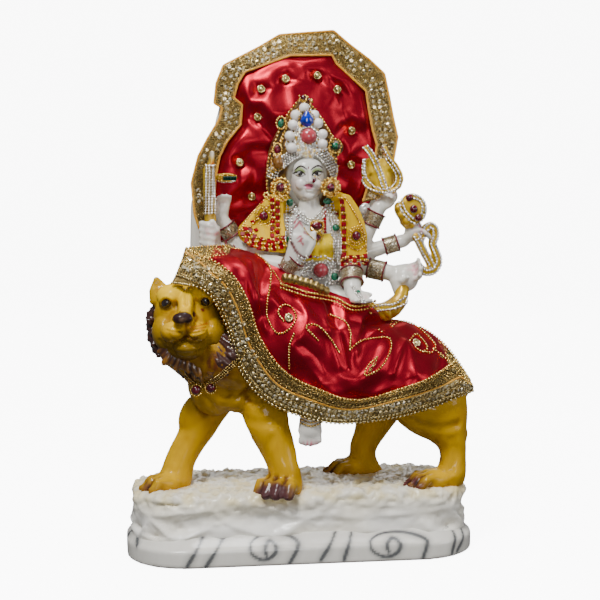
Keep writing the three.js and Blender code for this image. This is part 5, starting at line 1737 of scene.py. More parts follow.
def make_backdrop():
    """Red satin stretched over the back plate, pinned by nine studs and puffed between them."""
    around, out = 68, 15
    middle = np.array((4, 272))
    middle_line = (np.array(ARCH_OUTER) + np.array(ARCH_INNER)) * 0.5
    edge = np.concatenate([middle_line, SILLS])
    closed = np.concatenate([edge, edge[:1]])
    run = np.concatenate([[0], np.cumsum(np.linalg.norm(np.diff(closed, axis=0), axis=1))])

    def where(u, v):
        rim = np.stack([np.interp(u * run[-1], run, closed[:, k]) for k in range(2)], -1)
        flat = middle + (rim - middle) * v[:, None]
        puff = 3.2 * np.sin(np.minimum(v * 1.1, 1) * pi) ** 0.7
        return np.stack([flat[:, 0], 21.2 - puff, flat[:, 1]], -1)

    cloth = grid("backdrop_cloth", around, out, where, closed=True)
    base = points_of(cloth)
    rim, _ = to_path(base * (1, 0, 1), [(x, 0, z) for x, z in closed])
    angle = np.arctan2(base[:, 2] - 272, base[:, 0] - 4)
    start = np.sin(angle * 5 + speckle(base, 40, 32) * 2) * 0.8 * ramp(rim, 2, 14)
    start = speckle(base, 38, 31) * 1.6 + start
    stud = np.max([near(base, (x, 18, z), (8, 40, 8)) for x, z in STUDS], axis=0)
    start = start * (1 - stud)
    base[:, 1] = base[:, 1] + stud * 2.0
    shaped = base.copy()
    shaped[:, 1] += start * ramp(rim, 4, 14)
    move_to(cloth, shaped)
    pins = np.maximum(ramp(rim, 8, 6),
        np.max([near(base, (x, 20, z), (7, 40, 7)) for x, z in STUDS], axis=0))
    pins = np.maximum(pins, near(base, (4, 20, 272), (9, 40, 12)))
    drape(cloth, pins, 0.03, 9)
    moved = points_of(cloth)
    moved[:, 1] = np.clip(moved[:, 1], 12.6, 22.6)
    under_lace = ramp(rim, 12, 8)
    moved[:, 1] = moved[:, 1] * (1 - under_lace) + 22.6 * under_lace
    move_to(cloth, moved)
    apply(cloth, "SUBSURF", levels=2, render_levels=2)
    # Flat facets between sharp creases: the cloth stands out at the puffs, and lies back at studs and rim
    points = points_of(cloth)
    rim, _ = to_path(points * (1, 0, 1), [(x, 0, z) for x, z in closed])
    tops = [at_depth(x, y, 18) for x, y in PUFFS]
    corners = [Vector((top.x, top.z)) for top in tops] + [Vector(at) for at in (*STUDS, *edge)]
    rise = np.zeros(len(corners))
    rise[:len(tops)] = 0.4 + 3.2 * (np.arange(len(tops)) * 0.618 % 1)
    flat = points[:, (0, 2)]
    relief = np.zeros(len(points))
    corners, _, facets, origins, _, _ = delaunay_2d_cdt(corners, [], [], 0, 1e-6)
    rise = np.array([rise[origin[0]] for origin in origins])
    for first, second, third in facets:
        a, b, c = (np.array(corners[k]) for k in (first, second, third))
        share = np.linalg.solve(np.stack([b - a, c - a], 1), (flat - a).T)
        inside = (share > -1e-6).all(0) & (share.sum(0) < 1 + 1e-6)
        slopes = rise[second] - rise[first], rise[third] - rise[first]
        relief[inside] = (rise[first] + share[0] * slopes[0] + share[1] * slopes[1])[inside]
    points[:, 1] -= relief * ramp(rim, 8, 13)
    move_to(cloth, points)
    carve(cloth, Surface(cloth), ((pixels, width * 2.1, depth * 1.15)
         for pixels, width, depth in BACKDROP_CREASES), facing=FRONT, crisp=True)
    apply(cloth, "SOLIDIFY", thickness=SATIN_THICK * MM, offset=1)
    ops.object.shade_smooth()
    finish(cloth, satin("backdrop satin"), "red_satin", "backdrop_satin")
    return cloth


def lace_net(name, dark, bright, size=1.0):
    """Metal thread net: bright crossing threads over a dark ground."""
    look = Look(name, {"Metallic": 0.7})
    thread = look.cells(1500 / size, "DISTANCE_TO_EDGE")
    tone = look.noise(300 / size, 3)
    look.wear(Base_Color=look.mix(look.maths("LESS_THAN", thread, 0.12),
         look.stops(tone, (0.3, dark), (0.75, tuple(2.2 * c for c in dark))), bright),
        Roughness=tone * 0.3 + 0.3)
    return look.bumps(thread * 0.8 + tone * 0.5, 0.3)


def lace_cloth(name, ribbon, look, node, lift, rows=8):
    """The ground of a lace ribbon, as a thin sheet."""
    columns = int(ribbon.length / 1.6)
    sheet = grid(name, columns, rows, lambda u, v: ribbon.at(u * ribbon.length, 0.012 + v * 0.976, lift)[0])
    _, out = ribbon.at(np.full(1, ribbon.length / 2), np.full(1, 0.5))
    if (normals_of(sheet) @ out[0]).mean() < 0:
        turn_over()
    apply(sheet, "SOLIDIFY", thickness=LACE_THICK * MM, offset=-1)
    ops.object.shade_smooth()
    return finish(sheet, look, "gold_lace", *node)


def piping(name, paths, radius):
    """Orange cord that edges the lace."""
    look = Look("orange piping", {"Roughness": 0.45, "Sheen Weight": 0.3})
    look.wear(Base_Color=look.stops(look.noise(700, 2), (0.35, (0.6, 0.24, 0.006)),
         (0.65, (0.85, 0.42, 0.012))))
    look.bumps(look.noise(2200, 2), 0.05)
    return finish(wires(name, paths, radius, 8), look, "gold_lace")


BRIGHT_GOLD = ((0.95, 0.68, 0.2), (0.62, 0.36, 0.07))
OLD_GOLD = ((0.68, 0.48, 0.17), (0.24, 0.15, 0.04))


def place_all(name, places, look, slot="gilt_setting", unit=bead):
    """One mesh of a small piece at many places."""
    unit = unit()
    piece = scatter(name, unit, places)
    discard(unit)
    return finish(piece, look, slot)


LOOSE_MIRRORS = [
    (198, 258.5, 2.3), (197, 275, 3), (191.5, 270, 2.3), (205, 268.5, 2), (200, 283, 2.1),
    (233, 312, 1.7), (239, 324, 1.6), (240.5, 341.5, 1.7), (245.5, 338, 1.5), (248, 351, 1.6),
    (256, 354, 1.7), (226.5, 287, 1.6), (219, 279, 1.5), (458, 374, 1.8)]


def make_hem_lace(draw):
    """The double ribbon along the hem: a beaded net, orange piping, and looped threads with mirrors."""

    def where(u, share):
        start = lace_start(u)
        share = np.clip(share, 0, 1) ** (1 + 1.6 * ramp(u, 0.1, 0))
        return skirt_at(u, start + (1 - start) * share)

    hem = Ribbon(where)

    def w(millimetres):
        """A share of the way across, from millimetres."""
        return millimetres / 22

    cloth = lace_cloth("hem_lace", hem,
        lace_net("bronze lace net", (0.06, 0.04, 0.012), (0.6, 0.42, 0.14)), ("skirt_lace",), 0.55, 14)
    threads, loops = [], []
    for phase in (0, 1):
        steps = int(hem.length / 1.25)
        along = np.arange(steps) * 1.25 + phase * 0.6
        threads.append(hem.path(along, np.where(np.arange(steps) % 2 == phase, w(1.6), w(8)),
             1.0 + 0.25 * phase))
    for share in (w(2.9), w(6.9)):
        along = hem.steps(1)
        threads.append(hem.path(along, share + w(0.5) * np.sin(along * 1.9), 1.3))
    turn = np.linspace(0, 2 * pi, 11)
    for k in range(int(hem.length / 3.5)):
        for row, middle in enumerate((w(12), w(16.2))):
            start = k * 3.5 + 1.75 * row + 0.6
            loops.append(hem.path(np.clip(start + 2.7 * np.cos(turn), 0, hem.length),
                 middle + w(2.5) * np.sin(turn), 1.05 + 0.35 * np.sin(turn * 2 + k)))
    for share in (w(9.9), w(18.2)):
        loops.append(hem.path(hem.steps(1.5), share, 1.2))
    inner = finish(wires("hem_lace_threads", threads, 0.4, 5), metal("old gold thread", *OLD_GOLD, 0.35),
        "gold_lace")
    outer = finish(wires("hem_lace_loops", loops, 0.36, 5),
        metal("pale gold thread", (0.85, 0.66, 0.3), (0.4, 0.28, 0.1), 0.3), "gold_lace")
    along = hem.steps(1.4)
    pipe = piping("hem_lace_piping", [hem.path(along, w(9) + w(0.35) * np.sin(along / 9), 1.1)], 0.62)

    gold = [(p, o, 1.15) for p, o in hem.row(w(0.7), 2.5, 1.3)]
    place_all("hem_edge_beads", gold, metal("gold beads", *BRIGHT_GOLD))
    pale = [(p, o, 0.95) for p, o in hem.row(w(19), 2.6, 1.1)]
    pale += [(p, o, 1.2) for p, o in hem.row(w(21.3), 2.9, 1)]
    place_all("hem_lower_beads", pale,
         metal("pale gold beads", (0.9, 0.76, 0.42), (0.4, 0.29, 0.1), 0.2))
    small = []
    for _ in range(750):
        along, share = draw.uniform(0.5, hem.length - 0.5), draw.uniform(w(1.6), w(8.2))
        p, o = hem.at(along, share, 1.15)
        small.append((p, o, draw.uniform(0.5, 0.8)))
    place_all("hem_seed_beads", small,
         metal("seed beads", (0.72, 0.5, 0.18), (0.2, 0.12, 0.03), 0.2, 900), unit=seed)
    mirrors = []
    for share, pitch, start in ((w(11.9), 3.7, 0.6), (w(16), 3.7, 2.4)):
        for p, o in hem.row(share, pitch, 1.75, start=start):
            if draw.random() < 0.92:
                size = draw.choice((1.4, 1.65, 1.85))
                mirrors.append((p, o, (size, size, 0.8), draw.uniform(0, 1)))
    for x, y, r in LOOSE_MIRRORS:
        at = np.array(at_depth(x, y, -46))
        along = hem.steps(1)
        spots = [hem.at(along, s, 1.9) for s in (0.2, 0.4, 0.6, 0.8)]
        away = [np.linalg.norm((p - at) * (1, 0.1, 1), axis=1) for p, _ in spots]
        nearest = min(range(len(spots)), key=lambda k: away[k].min())
        p, o = spots[nearest]
        index = away[nearest].argmin()
        mirrors.append((p[index], o[index], (r, r, r * 0.8)))
    place_all("hem_mirrors", mirrors, foil("mirror foil", SEQUIN_STOPS), unit=mirror_disc)


def make_small_trims(draw):
    """The short band of lace at the shoulder and the narrow one along the spine."""

    def shoulder(u, share):
        return skirt_at(0.105 * u, 0.02 + share * (0.42 * (1 - 0.55 * u)))

    def spine(u, share):
        u = 0.68 + 0.32 * u
        fall = np.linalg.norm(through(SKIRT_TOP, u) - through(SKIRT_HEM, u), axis=-1)
        return skirt_at(u, 0.01 + share * np.clip(12.5 / fall, 0, 0.5))

    trims = []
    lift = 1.0
    for name, area, spread in (("shoulder_lace", shoulder, 9), ("spine_lace", spine, 7)):
        band = Ribbon(area)
        cloth = lace_cloth(name, band,
            lace_net(name.replace("_", " ") + " net", (0.05, 0.04, 0.014), (0.4, 0.32, 0.13)), (), lift,
            6)
        along = band.steps(1.1)
        zig = [band.path(along, np.where(np.arange(len(along)) % 2 == k, 0.15, 0.8), lift + 0.4)
            for k in (0, 1)]
        trims.append(cloth)
        trims.append(finish(wires(name + "_threads", zig, 0.3, 5),
             metal(name + " thread", *OLD_GOLD, 0.35), "gold_lace"))
        dots = [(p, o, size) for share, size in ((0.06, 0.9), (0.94, 0.85))
            for p, o in band.row(share, 2.1, lift + 0.6)]
        for _ in range(int(band.length * spread * 0.5)):
            p, o = band.at(draw.uniform(0.5, band.length - 0.5), draw.uniform(0.12, 0.88), lift + 0.5)
            dots.append((p, o, draw.uniform(0.4, 0.62)))
        trims.append(place_all(name + "_beads", dots, metal(name + " beads", *BRIGHT_GOLD)))
    return trims


def make_arch_lace():
    """Lace round the back plate, with sequins between crossed threads and orange piping on both edges."""
    draw = random.Random(19)
    outer, inner = np.array(ARCH_OUTER, float), np.array(ARCH_INNER, float)
    run = np.concatenate([[0], np.cumsum(np.linalg.norm(np.diff((outer + inner) / 2, axis=0), axis=1))])
    run /= run[-1]

    def where(u, share):
        u, share = np.broadcast_arrays(u, share)
        rim = np.stack([np.interp(u, run, outer[:, k]) for k in range(2)], -1)
        hole = np.stack([np.interp(u, run, inner[:, k]) for k in range(2)], -1)
        flat = rim + (hole - rim) * share[..., None]
        wave = 0.5 * np.sin(u * 37) + 0.4 * np.sin(share * pi)
        return np.stack([flat[..., 0], 20.9 - wave, flat[..., 1]], -1)

    band = Ribbon(where)
    if band.at(10, 0.5)[1][1] > 0:
        band.turned = -1
    cloth = lace_cloth("arch_lace", band,
        lace_net("arch lace net", (0.06, 0.04, 0.01), (0.62, 0.43, 0.13)), ("backdrop_lace",), 0.3, 10)
    pieces = [piping("arch_piping", [band.path(band.steps(1.2), s, 0.5) for s in (0.03, 0.97)], 0.85)]
    threads = []
    along = band.steps(1.7)
    for phase in (0, 1):
        for low, high in ((0.12, 0.5), (0.5, 0.88), (0.12, 0.88)):
            threads.append(band.path(along, np.where(np.arange(len(along)) % 2 == phase, low, high),
                 0.75 + 0.2 * phase))
    for share in (0.1, 0.5, 0.9):
        threads.append(band.path(band.steps(1), share + 0.03 * np.sin(band.steps(1) * 1.7), 0.95))
    pieces.append(finish(wires("arch_threads", threads, 0.27, 5),
         metal("arch thread", (0.9, 0.66, 0.26), (0.4, 0.25, 0.07), 0.3), "gold_lace"))
    sequins, glints = [], []
    for k, share in enumerate((0.27, 0.5, 0.73)):
        for p, o in band.row(share, 4.1, 0.9, start=2.0 * (k % 2)):
            plain = p[0] < -44 and p[2] < 300
            if draw.random() < (0.35 if plain else 0.85):
                tip = np.array([draw.uniform(-0.25, 0.25) for _ in range(3)])
                sequins.append((p, np.array(o) + tip, (1.95, 1.95, 1.1), draw.uniform(0, 1)))
    for _ in range(int(band.length * 2.4)):
        p, o = band.at(draw.uniform(1, band.length - 1), draw.uniform(0.12, 0.88), 0.7)
        glints.append((p, o, draw.uniform(0.35, 0.6)))
    pieces.append(place_all("arch_sequins", sequins, foil("sequin foil", SEQUIN_STOPS), unit=mirror_disc))
    pieces.append(place_all("arch_seed_beads", glints,
         metal("arch beads", (0.7, 0.55, 0.24), (0.14, 0.1, 0.03), 0.22, 900), unit=seed))
    mirror = ball(at_depth(365, 209, 17), (4.4, 2.2, 4.4), around=28)
    pieces.append(smooth_set("arch_mirror", [mirror], foil("mirror"), "gilt_setting"))


# Glued stones, pearls and beads

PEARLS = {
    "crown_pearl_top": (2.7, -8.5, 310), "crown_pearl_left_1": (-3.5, -10, 305.1),
    "crown_pearl_right_1": (9.6, -10, 305.1), "crown_pearl_left_2": (-5.7, -12.5, 298.3),
    "crown_pearl_right_2": (12, -12, 299.5), "crown_pearl_left_3": (-8, -13.5, 290.6),
    "crown_pearl_right_3": (14.9, -13, 291.9), "crown_pearl_left_4": (-7, -14, 282.6),
    "crown_pearl_right_4": (14.7, -14, 285.2)}
RED_STONES = {
    "shawl_stone_left": ((-27, -20.5, 236), 3.1), "shawl_stone_right": ((37.5, -20.5, 222), 3.1),
    "necklace_flower": ((9.4, -18.5, 221.5), 1.7), "conch_stone_1": ((77, -9.5, 248), 2.6),
    "conch_stone_2": ((80, -10.8, 240), 2.9), "conch_stone_3": ((83.5, -10.2, 234), 2.4),
    "collar_stone_left": ((-75, -35, 119), 3.1), "collar_stone_right": ((-65, -35.5, 120.5), 3.1)}
GREEN_STONES = {
    "ear_green_left": ((-8, -14.5, 245), (2.4, 2, 2.8)),
    "ear_green_right": ((18.5, -12.5, 245.8), (3.1, 2, 2.4)),
    "shawl_green_stone": ((24, -16.5, 227.5), (2.7, 1.8, 2.5)),
    "belt_green_stone": ((23, -16.5, 193.5), (2.6, 1.8, 2.6)),
    "palm_green_stone": ((36, -36.5, 184), (1.7, 1.4, 2.1))}


def ring(centre, radius, count, size, facing=(0, -1, 0), squash=1.0, turn=0.0):
    """Beads in an oval round a stone."""
    out = Vector(facing).normalized()
    side = out.cross(Vector((0, 0, 1))).normalized()
    up = side.cross(out)
    spots = []
    for k in range(count):
        angle = 2 * pi * k / count
        a, b = radius * cos(angle), radius * squash * sin(angle)
        across, rise = a * cos(turn) - b * sin(turn), a * sin(turn) + b * cos(turn)
        spots.append((Vector(centre) + side * across + up * rise, out, size))
    return spots


def strung(surface, pixels, pitch, size, lift=0.0, offset=0.0, smooth=True):
    """Beads at even steps along a line of picture points, moved sideways by offset pixels."""
    flat = [Vector((x, y, 0)) for x, y in pixels]
    if smooth and len(flat) > 2:
        flat = bend(flat, 8)
    if offset:
        moved = []
        for k, p in enumerate(flat):
            way = (flat[min(k + 1, len(flat) - 1)] - flat[max(k - 1, 0)]).normalized()
            moved.append(p + Vector((way.y, -way.x, 0)) * offset)
        flat = moved
    return [(*surface.seen(p.x, p.y, lift), size) for p in evenly(flat, pitch / MM_PER_PIXEL)]


def make_stones():
    """Pearls, and set stones of blue, coral, green and red glass."""
    pearls = [ball(at, (3.5, 3.5, 3.5), around=30, down=18) for at in PEARLS.values()]
    look = Look("pearl", {"Roughness": 0.16, "Coat Weight": 0.8, "Coat Roughness": 0.06,
         "Sheen Weight": 0.3, "Sheen Tint": (1, 0.86, 0.84)})
    look.wear(Base_Color=look.stops(look.noise(150, 2), (0.3, (0.78, 0.72, 0.66)),
         (0.7, (0.93, 0.9, 0.86))))
    smooth_set("crown_pearls", pearls, look, "pearl", *PEARLS)

    blue = fuse("crown_blue_stone_cut",
        [limb([(3.8, -13.6, 298.4, 3.2, 2), (3.8, -14, 300.2, 4.9, 2.8), (3.8, -14, 303.2, 3.9, 2.8),
           (3.8, -14, 307, 1.5, 1.6)], 24)], 0.45, 8)
    finish(blue, gem("blue glass", (0.004, 0.03, 0.55), (0, 0.008, 0.2)), "blue_stone", "crown_blue_stone")

    corals = [ball((4.8, -15.5, 290.5), (5.3, 4, 5.3), around=40, down=24),
        ball((13, -17, 198), (5, 3.6, 4.8), around=40, down=24)]
    smooth_set("coral_stones", corals, gem("coral", (0.5, 0.06, 0.08), (0.42, 0.04, 0.055), 0.2),
        "coral_stone", "crown_coral", "belt_coral")

    greens = [ball(at, radii) for at, radii in GREEN_STONES.values()]
    greens += [ball(at_depth(281, 123, -9), (2.2, 1.6, 3.2), (0, 20, 0)),
        ball(at_depth(335, 146, -7.5), (2.5, 1.8, 2.7))]
    greens.append(ball(at_depth(289, 240, -19), (2.2, 1.6, 2.8)))
    smooth_set("green_stones", greens, gem("green glass", (0, 0.16, 0.07), (0, 0.05, 0.022)),
        "green_stone", *GREEN_STONES)

    reds = [ball(at, (r, r * 0.75, r * 1.05)) for at, r in RED_STONES.values()]
    reds += [ball(at_depth(280.4, 187.4, -19), (2.9, 2, 3.3)),
        ball(at_depth(330.8, 187.4, -19), (2.8, 2, 2.9)), ball((9.6, -21.5, 229.2), (3.9, 2, 2.7)),
        ball(at_depth(303.5, 97.5, -7), (2.2, 1.8, 1.8)), ball(at_depth(309.5, 100, -6), (1.6, 1.4, 1.4)),
        ball(at_depth(277.3, 149.4, -10), (2.2, 1.5, 2.95)),
        ball(at_depth(314.2, 180.4, -20), (1.2, 0.9, 1.9), (0, 24, 0))]
    reds += [ball((9.4 + 2.2 * cos(a), -19.4, 221.5 + 1.9 * sin(a)), (1.25, 1, 1.25))
        for a in np.arange(6) * pi / 3]
    smooth_set("red_stones", reds, gem("garnet glass", (0.14, 0, 0.01), (0.035, 0, 0.005)), "red_stone",
        *RED_STONES)

    smooth_set("amber_stone", [ball(at_depth(277.9, 162, -11), (3.5, 2, 4.7))],
        gem("amber glass", (0.3, 0.13, 0.02), (0.14, 0.055, 0.01), 0.12), "red_stone")


def make_settings():
    """Earring flowers, the pendant and the studs."""
    parts = []
    for at, count in (((-15.5, -15, 255.2), 8), ((20.3, -15, 255), 8)):
        for k in range(count):
            angle = 2 * pi * k / count
            parts.append(ball((at[0] + 4.9 * cos(angle), at[1] - 0.6, at[2] + 4.9 * sin(angle)),
                 (1.9, 1.4, 1.9), around=14, down=9))
        parts.append(ball(at, (5.4, 2.2, 5.4), around=24, down=12))
    parts.append(limb([(5.2, -19, 228, 1.6, 1.5), (6.8, -20, 226, 2, 2), (9.6, -20.5, 224.8, 2.4, 2.2),
          (12.4, -20, 226, 2, 2), (13.8, -19, 228, 1.6, 1.5)], 12, (0, 0, 1)))
    parts.append(ball((9.6, -19.4, 228.6), (5.2, 2.2, 3.9), around=22, down=12))
    smooth_set("ear_and_pendant_settings", parts, metal("gilt setting", *BRIGHT_GOLD), "gilt_setting",
        "earring_left", "earring_right", "pendant")

    draw = random.Random(5)
    studs = []
    for x, z in STUDS:
        lean = Vector((draw.uniform(-0.25, 0.25), -1, draw.uniform(-0.3, 0.15)))
        studs += stud_parts(Vector((x, 22, z)), lean.normalized(), 6)
    piece = join("backdrop_studs", studs)
    ops.object.shade_smooth_by_angle(angle=radians(50))
    finish(piece, metal("stud gold", (0.8, 0.66, 0.3), (0.5, 0.36, 0.12)), "gilt_setting",
        *[f"backdrop_stud_{k + 1}" for k in range(len(STUDS))])


def stud_parts(at, out, tall):
    """A small cup with a rolled lip and a domed top."""
    turn = out.to_track_quat("Z", "Y").to_euler()
    fresh()
    ops.mesh.primitive_cone_add(vertices=28, radius1=2.0 * MM, radius2=2.7 * MM, depth=tall * MM,
        rotation=turn, location=(at + out * tall / 2) * MM)
    stem = settle(newest())
    ops.mesh.primitive_torus_add(major_segments=28, minor_segments=10, major_radius=2.35 * MM,
        minor_radius=0.62 * MM, rotation=turn, location=(at + out * tall) * MM)
    lip = settle(newest())
    ops.mesh.primitive_uv_sphere_add(segments=20, ring_count=12, radius=MM, rotation=turn,
        location=(at + out * tall) * MM)
    dome = newest()
    dome.scale = (1.35, 1.35, 0.95)
    return [stem, lip, settle(dome)]


SEWN_SCROLLS = [
    [(231, 245), (244, 248), (261, 258), (270.5, 270), (270, 285), (267, 303), (267.5, 318), (277, 333),
     (289, 329.5), (296, 318), (291.5, 308), (283.5, 305), (278, 312), (283.5, 321)],
    [(294, 334), (289.5, 346), (289, 368)],
    [(317.5, 340), (306, 327), (315.5, 325), (327, 334), (338.5, 352)],
    [(330, 315), (344, 321), (350, 332), (350, 349)],
    [(350, 350), (361, 341), (383, 337.5), (390.5, 341), (389, 354), (379, 369), (365, 375.5), (368, 366),
     (377, 357.5)],
    [(392, 327), (400, 321.5), (414, 325), (428, 337), (435, 346), (431, 353), (424, 352)],
    [(409.5, 341), (416, 334.5), (423, 341), (427, 348), (422, 352), (415.5, 348)]]
WAIST_ROW = [
    (281, 284), (290, 287), (308, 292.5), (322, 295), (337, 298.5), (351, 306), (366, 305), (375, 301)]
SCALLOPS = [(285, 278), (292, 279), (300, 281), (308, 283), (316, 286), (326, 291)]


def make_skirt_trim(skirt):
    """Beaded scrolls sewn on the satin, two studs, and the gold edge at the waist."""
    cloth = Surface(skirt)
    beads = []
    for line in SEWN_SCROLLS:
        beads += strung(cloth, line, 1.9, 0.9, 0.4)
    for drop, size in ((0, 1.15), (4, 0.9)):
        line = bend([Vector((x, y + drop, 0)) for x, y in WAIST_ROW], 8)
        for spot in evenly(line, 2.9):
            at, out = cloth.seen(spot.x, spot.y, 1.2)
            deep = min(at.y, cloth.seen(spot.x, spot.y + 4, 1.2)[0].y) - 0.8
            beads.append((Vector(at_depth(spot.x, spot.y, deep)), Vector((0, -1, 0.2)), size))
    beads += strung(cloth, [(273, 271), (280, 282), (286, 288)], 1.5, 0.7, 0.5)
    beads += strung(cloth, [(384, 309), (392, 318), (390, 326)], 1.5, 0.7, 0.5)
    place_all("skirt_scrolls", beads, metal("scroll beads", *BRIGHT_GOLD))

    leaf = []
    draw = random.Random(3)
    for _ in range(70):
        t, s = draw.random(), draw.uniform(-1, 1)
        x, y = 368 + 9 * t, 373 - 14 * t
        leaf.append((*cloth.seen(x + s * 1.6 * sin(pi * t), y + s * 1.2 * sin(pi * t), 0.2),
             draw.uniform(0.3, 0.5)))
    place_all("skirt_leaf_beads", leaf, metal("dark leaf beads", *OLD_GOLD))

    # The scalloped gold edge of the waist
    petals = []
    scallops = [Vector((x, y, 0)) for x, y in SCALLOPS]
    waist_depth = [cloth.seen(x, y, 1)[0].y for x, y in ((284, 290), (300, 296), (316, 300), (334, 304))]
    for spot in evenly(bend(scallops, 8), 5.4):
        at = Vector(at_depth(spot.x, spot.y, float(np.interp(spot.x, (284, 300, 316, 334), waist_depth))))
        petals.append(ball(at, (2.8, 2, 3.3), (0, 12, 0), 18, 10))
        petals.append(ball(at + Vector((0, -1.6, 0.2)), (1.5, 0.9, 1.8), (0, 12, 0), 14, 8))
    waist = fuse("waist_edge", petals, 0.5, 2)
    finish(waist, metal("waist gold", (0.5, 0.36, 0.13), (0.24, 0.15, 0.05), 0.35), "gilt_setting")

    studs = []
    for x, y in ((288.5, 318), (415.7, 343.6)):
        at, out = cloth.seen(x, y, -0.5)
        studs += stud_parts(at, (out + Vector((0, -1, 0.2))).normalized(), 2.4)
    piece = join("skirt_studs", studs)
    ops.object.shade_smooth_by_angle(angle=radians(50))
    finish(piece, metal("skirt stud gold", (0.85, 0.76, 0.45), (0.55, 0.42, 0.16)), "gilt_setting",
        "skirt_stud_1", "skirt_stud_2")


def necklace_rows(bust, silver):
    """The band over the forehead, the necklace and the long strings."""
    brow = [(277, 178.5), (279, 171.5), (285, 167), (291.7, 161), (300, 156), (308.3, 152.5),
        (316.7, 156), (323, 162), (327.5, 169), (331, 177)]
    for row in range(5):
        silver += strung(bust, brow, 1.95, 1, 0.5, offset=row * 2.3)
    collar = [(294, 204), (300, 212), (310.5, 219.5), (319.5, 213), (325.6, 204)]
    for row in range(3):
        silver += strung(bust, collar, 2, 1.02, 0.45, offset=-row * 2.7)
    for shift in (-3.6, -0.6, 2.4):
        silver += strung(bust, [(289.6 + shift, 201.5), (289.2 + shift, 222), (288.8 + shift, 241)], 2,
            1.02, 0.4)
    long_string = [(329.2, 202), (332, 214), (334.6, 226), (337.2, 240), (337.6, 256), (336, 270),
        (333.6, 284)]
    for shift in (-4.4, -1.6, 1.2, 4):
        silver += strung(bust, [(x + shift, y) for x, y in long_string], 2, 1.05, 0.5)


def crown_beads(bust, draw, silver, gold):
    """The crown: small beads fill what the pearls leave, and a drop of gold covers its tip."""
    taken = [(p, 3.3) for p in PEARLS.values()] + [((3.8, -12.6, 302.5), 4.8), ((4.8, -14.5, 290.5), 5.2)]
    count = 0
    while count < 430:
        x, y = draw.uniform(285, 328), draw.uniform(104, 160)
        half = 3 + (y - 104) * 0.42
        if abs(x - 305.5) > half or y > 157 - abs(x - 309) * 0.55 + 2:
            continue
        at, out = bust.seen(x, y, 0.4)
        if any(hypot(at.x - p[0], at.z - p[2]) < r for p, r in taken):
            continue
        size = draw.uniform(0.85, 1.15)
        (silver if draw.random() < 0.66 else gold).append((at, out, size))
        count += 1
    silver += ring((4.8, -14.2, 290.5), 6.3, 19, 1.05, (0, -1, 0.05))
    gold += ring((3.8, -13.4, 302.3), 5.4, 18, 0.7)
    for _ in range(26):
        x, y = 303.5 + draw.uniform(-6, 9), 98 + draw.uniform(-3, 5)
        gold.append((Vector(at_depth(x, y + (x - 303.5) * 0.35, draw.uniform(-8, -5))),
             Vector((0, -1, 0.2)), draw.uniform(0.8, 1.1)))


def hood_beads(bust, draw, gold, fine):
    """Beads along the edges of the hood, fine ones on it, and rings round its stones."""
    for line, pitch in (([(299, 101), (290, 112), (283, 125), (276, 141), (270, 157), (267.6, 174),
              (267.6, 196)], 2.7), ([(302, 106), (293, 116), (286.5, 129), (281, 141)], 2.2),
            ([(272, 160), (271.6, 178)], 2.4), ([(311, 104), (320, 114), (327, 127), (332, 137)], 2.4),
            ([(339, 152), (337, 166), (335, 177)], 2.6), ([(283, 139), (276, 157), (274, 172)], 2.3),
            ([(331, 139), (329, 150), (334, 160)], 2.2)):
        gold += strung(bust, line, pitch, 1.1, 0.5)
    for _ in range(120):
        x, y = draw.choice(((draw.uniform(268, 290), draw.uniform(125, 180)),
             (draw.uniform(326, 338), draw.uniform(136, 178))))
        if x < 267 + (180 - y) * 0.32 * (y < 160) or (x > 281 and y > 160):
            continue
        at, out = bust.seen(x, y, 0.2)
        if at.y < 2:
            fine.append((at, out, draw.uniform(0.45, 0.7)))
    for (x, y), radius, tall in (((281, 123), 3.2, 1.3), ((277.3, 149.4), 3, 1.4),
            ((277.9, 162), 4.5, 1.3), ((335, 146), 4.4, 1.1)):
        gold += ring(at_depth(x, y, -10), radius, 15, 0.9, squash=tall)


def ear_and_pendant_rows(bust, gold):
    """Rings round the ear flowers, the pendant and the small flower below it."""
    for x, y in ((280.4, 187.4), (330.8, 187.4)):
        gold += ring(at_depth(x, y, -19.5), 3.9, 14, 0.8)
        gold += ring(at_depth(x, y, -17.5), 6.3, 15, 1.25)
    for at in ((266, 195), (270, 198), (275, 199), (281, 199.5), (285, 198)):
        gold += ring(at_depth(*at, -19), 1.5, 6, 0.95)
    gold += ring((9.6, -21, 229.2), 4.9, 18, 0.8, squash=0.75)
    gold += ring((9.6, -20, 225.4), 5, 14, 0.7, squash=0.4)
    gold += ring((9.4, -19, 221.5), 4.2, 14, 0.6, squash=0.85)
    gold += strung(bust, [(304, 228), (309, 235), (316, 240), (323, 236)], 1.5, 0.6, 0.4)


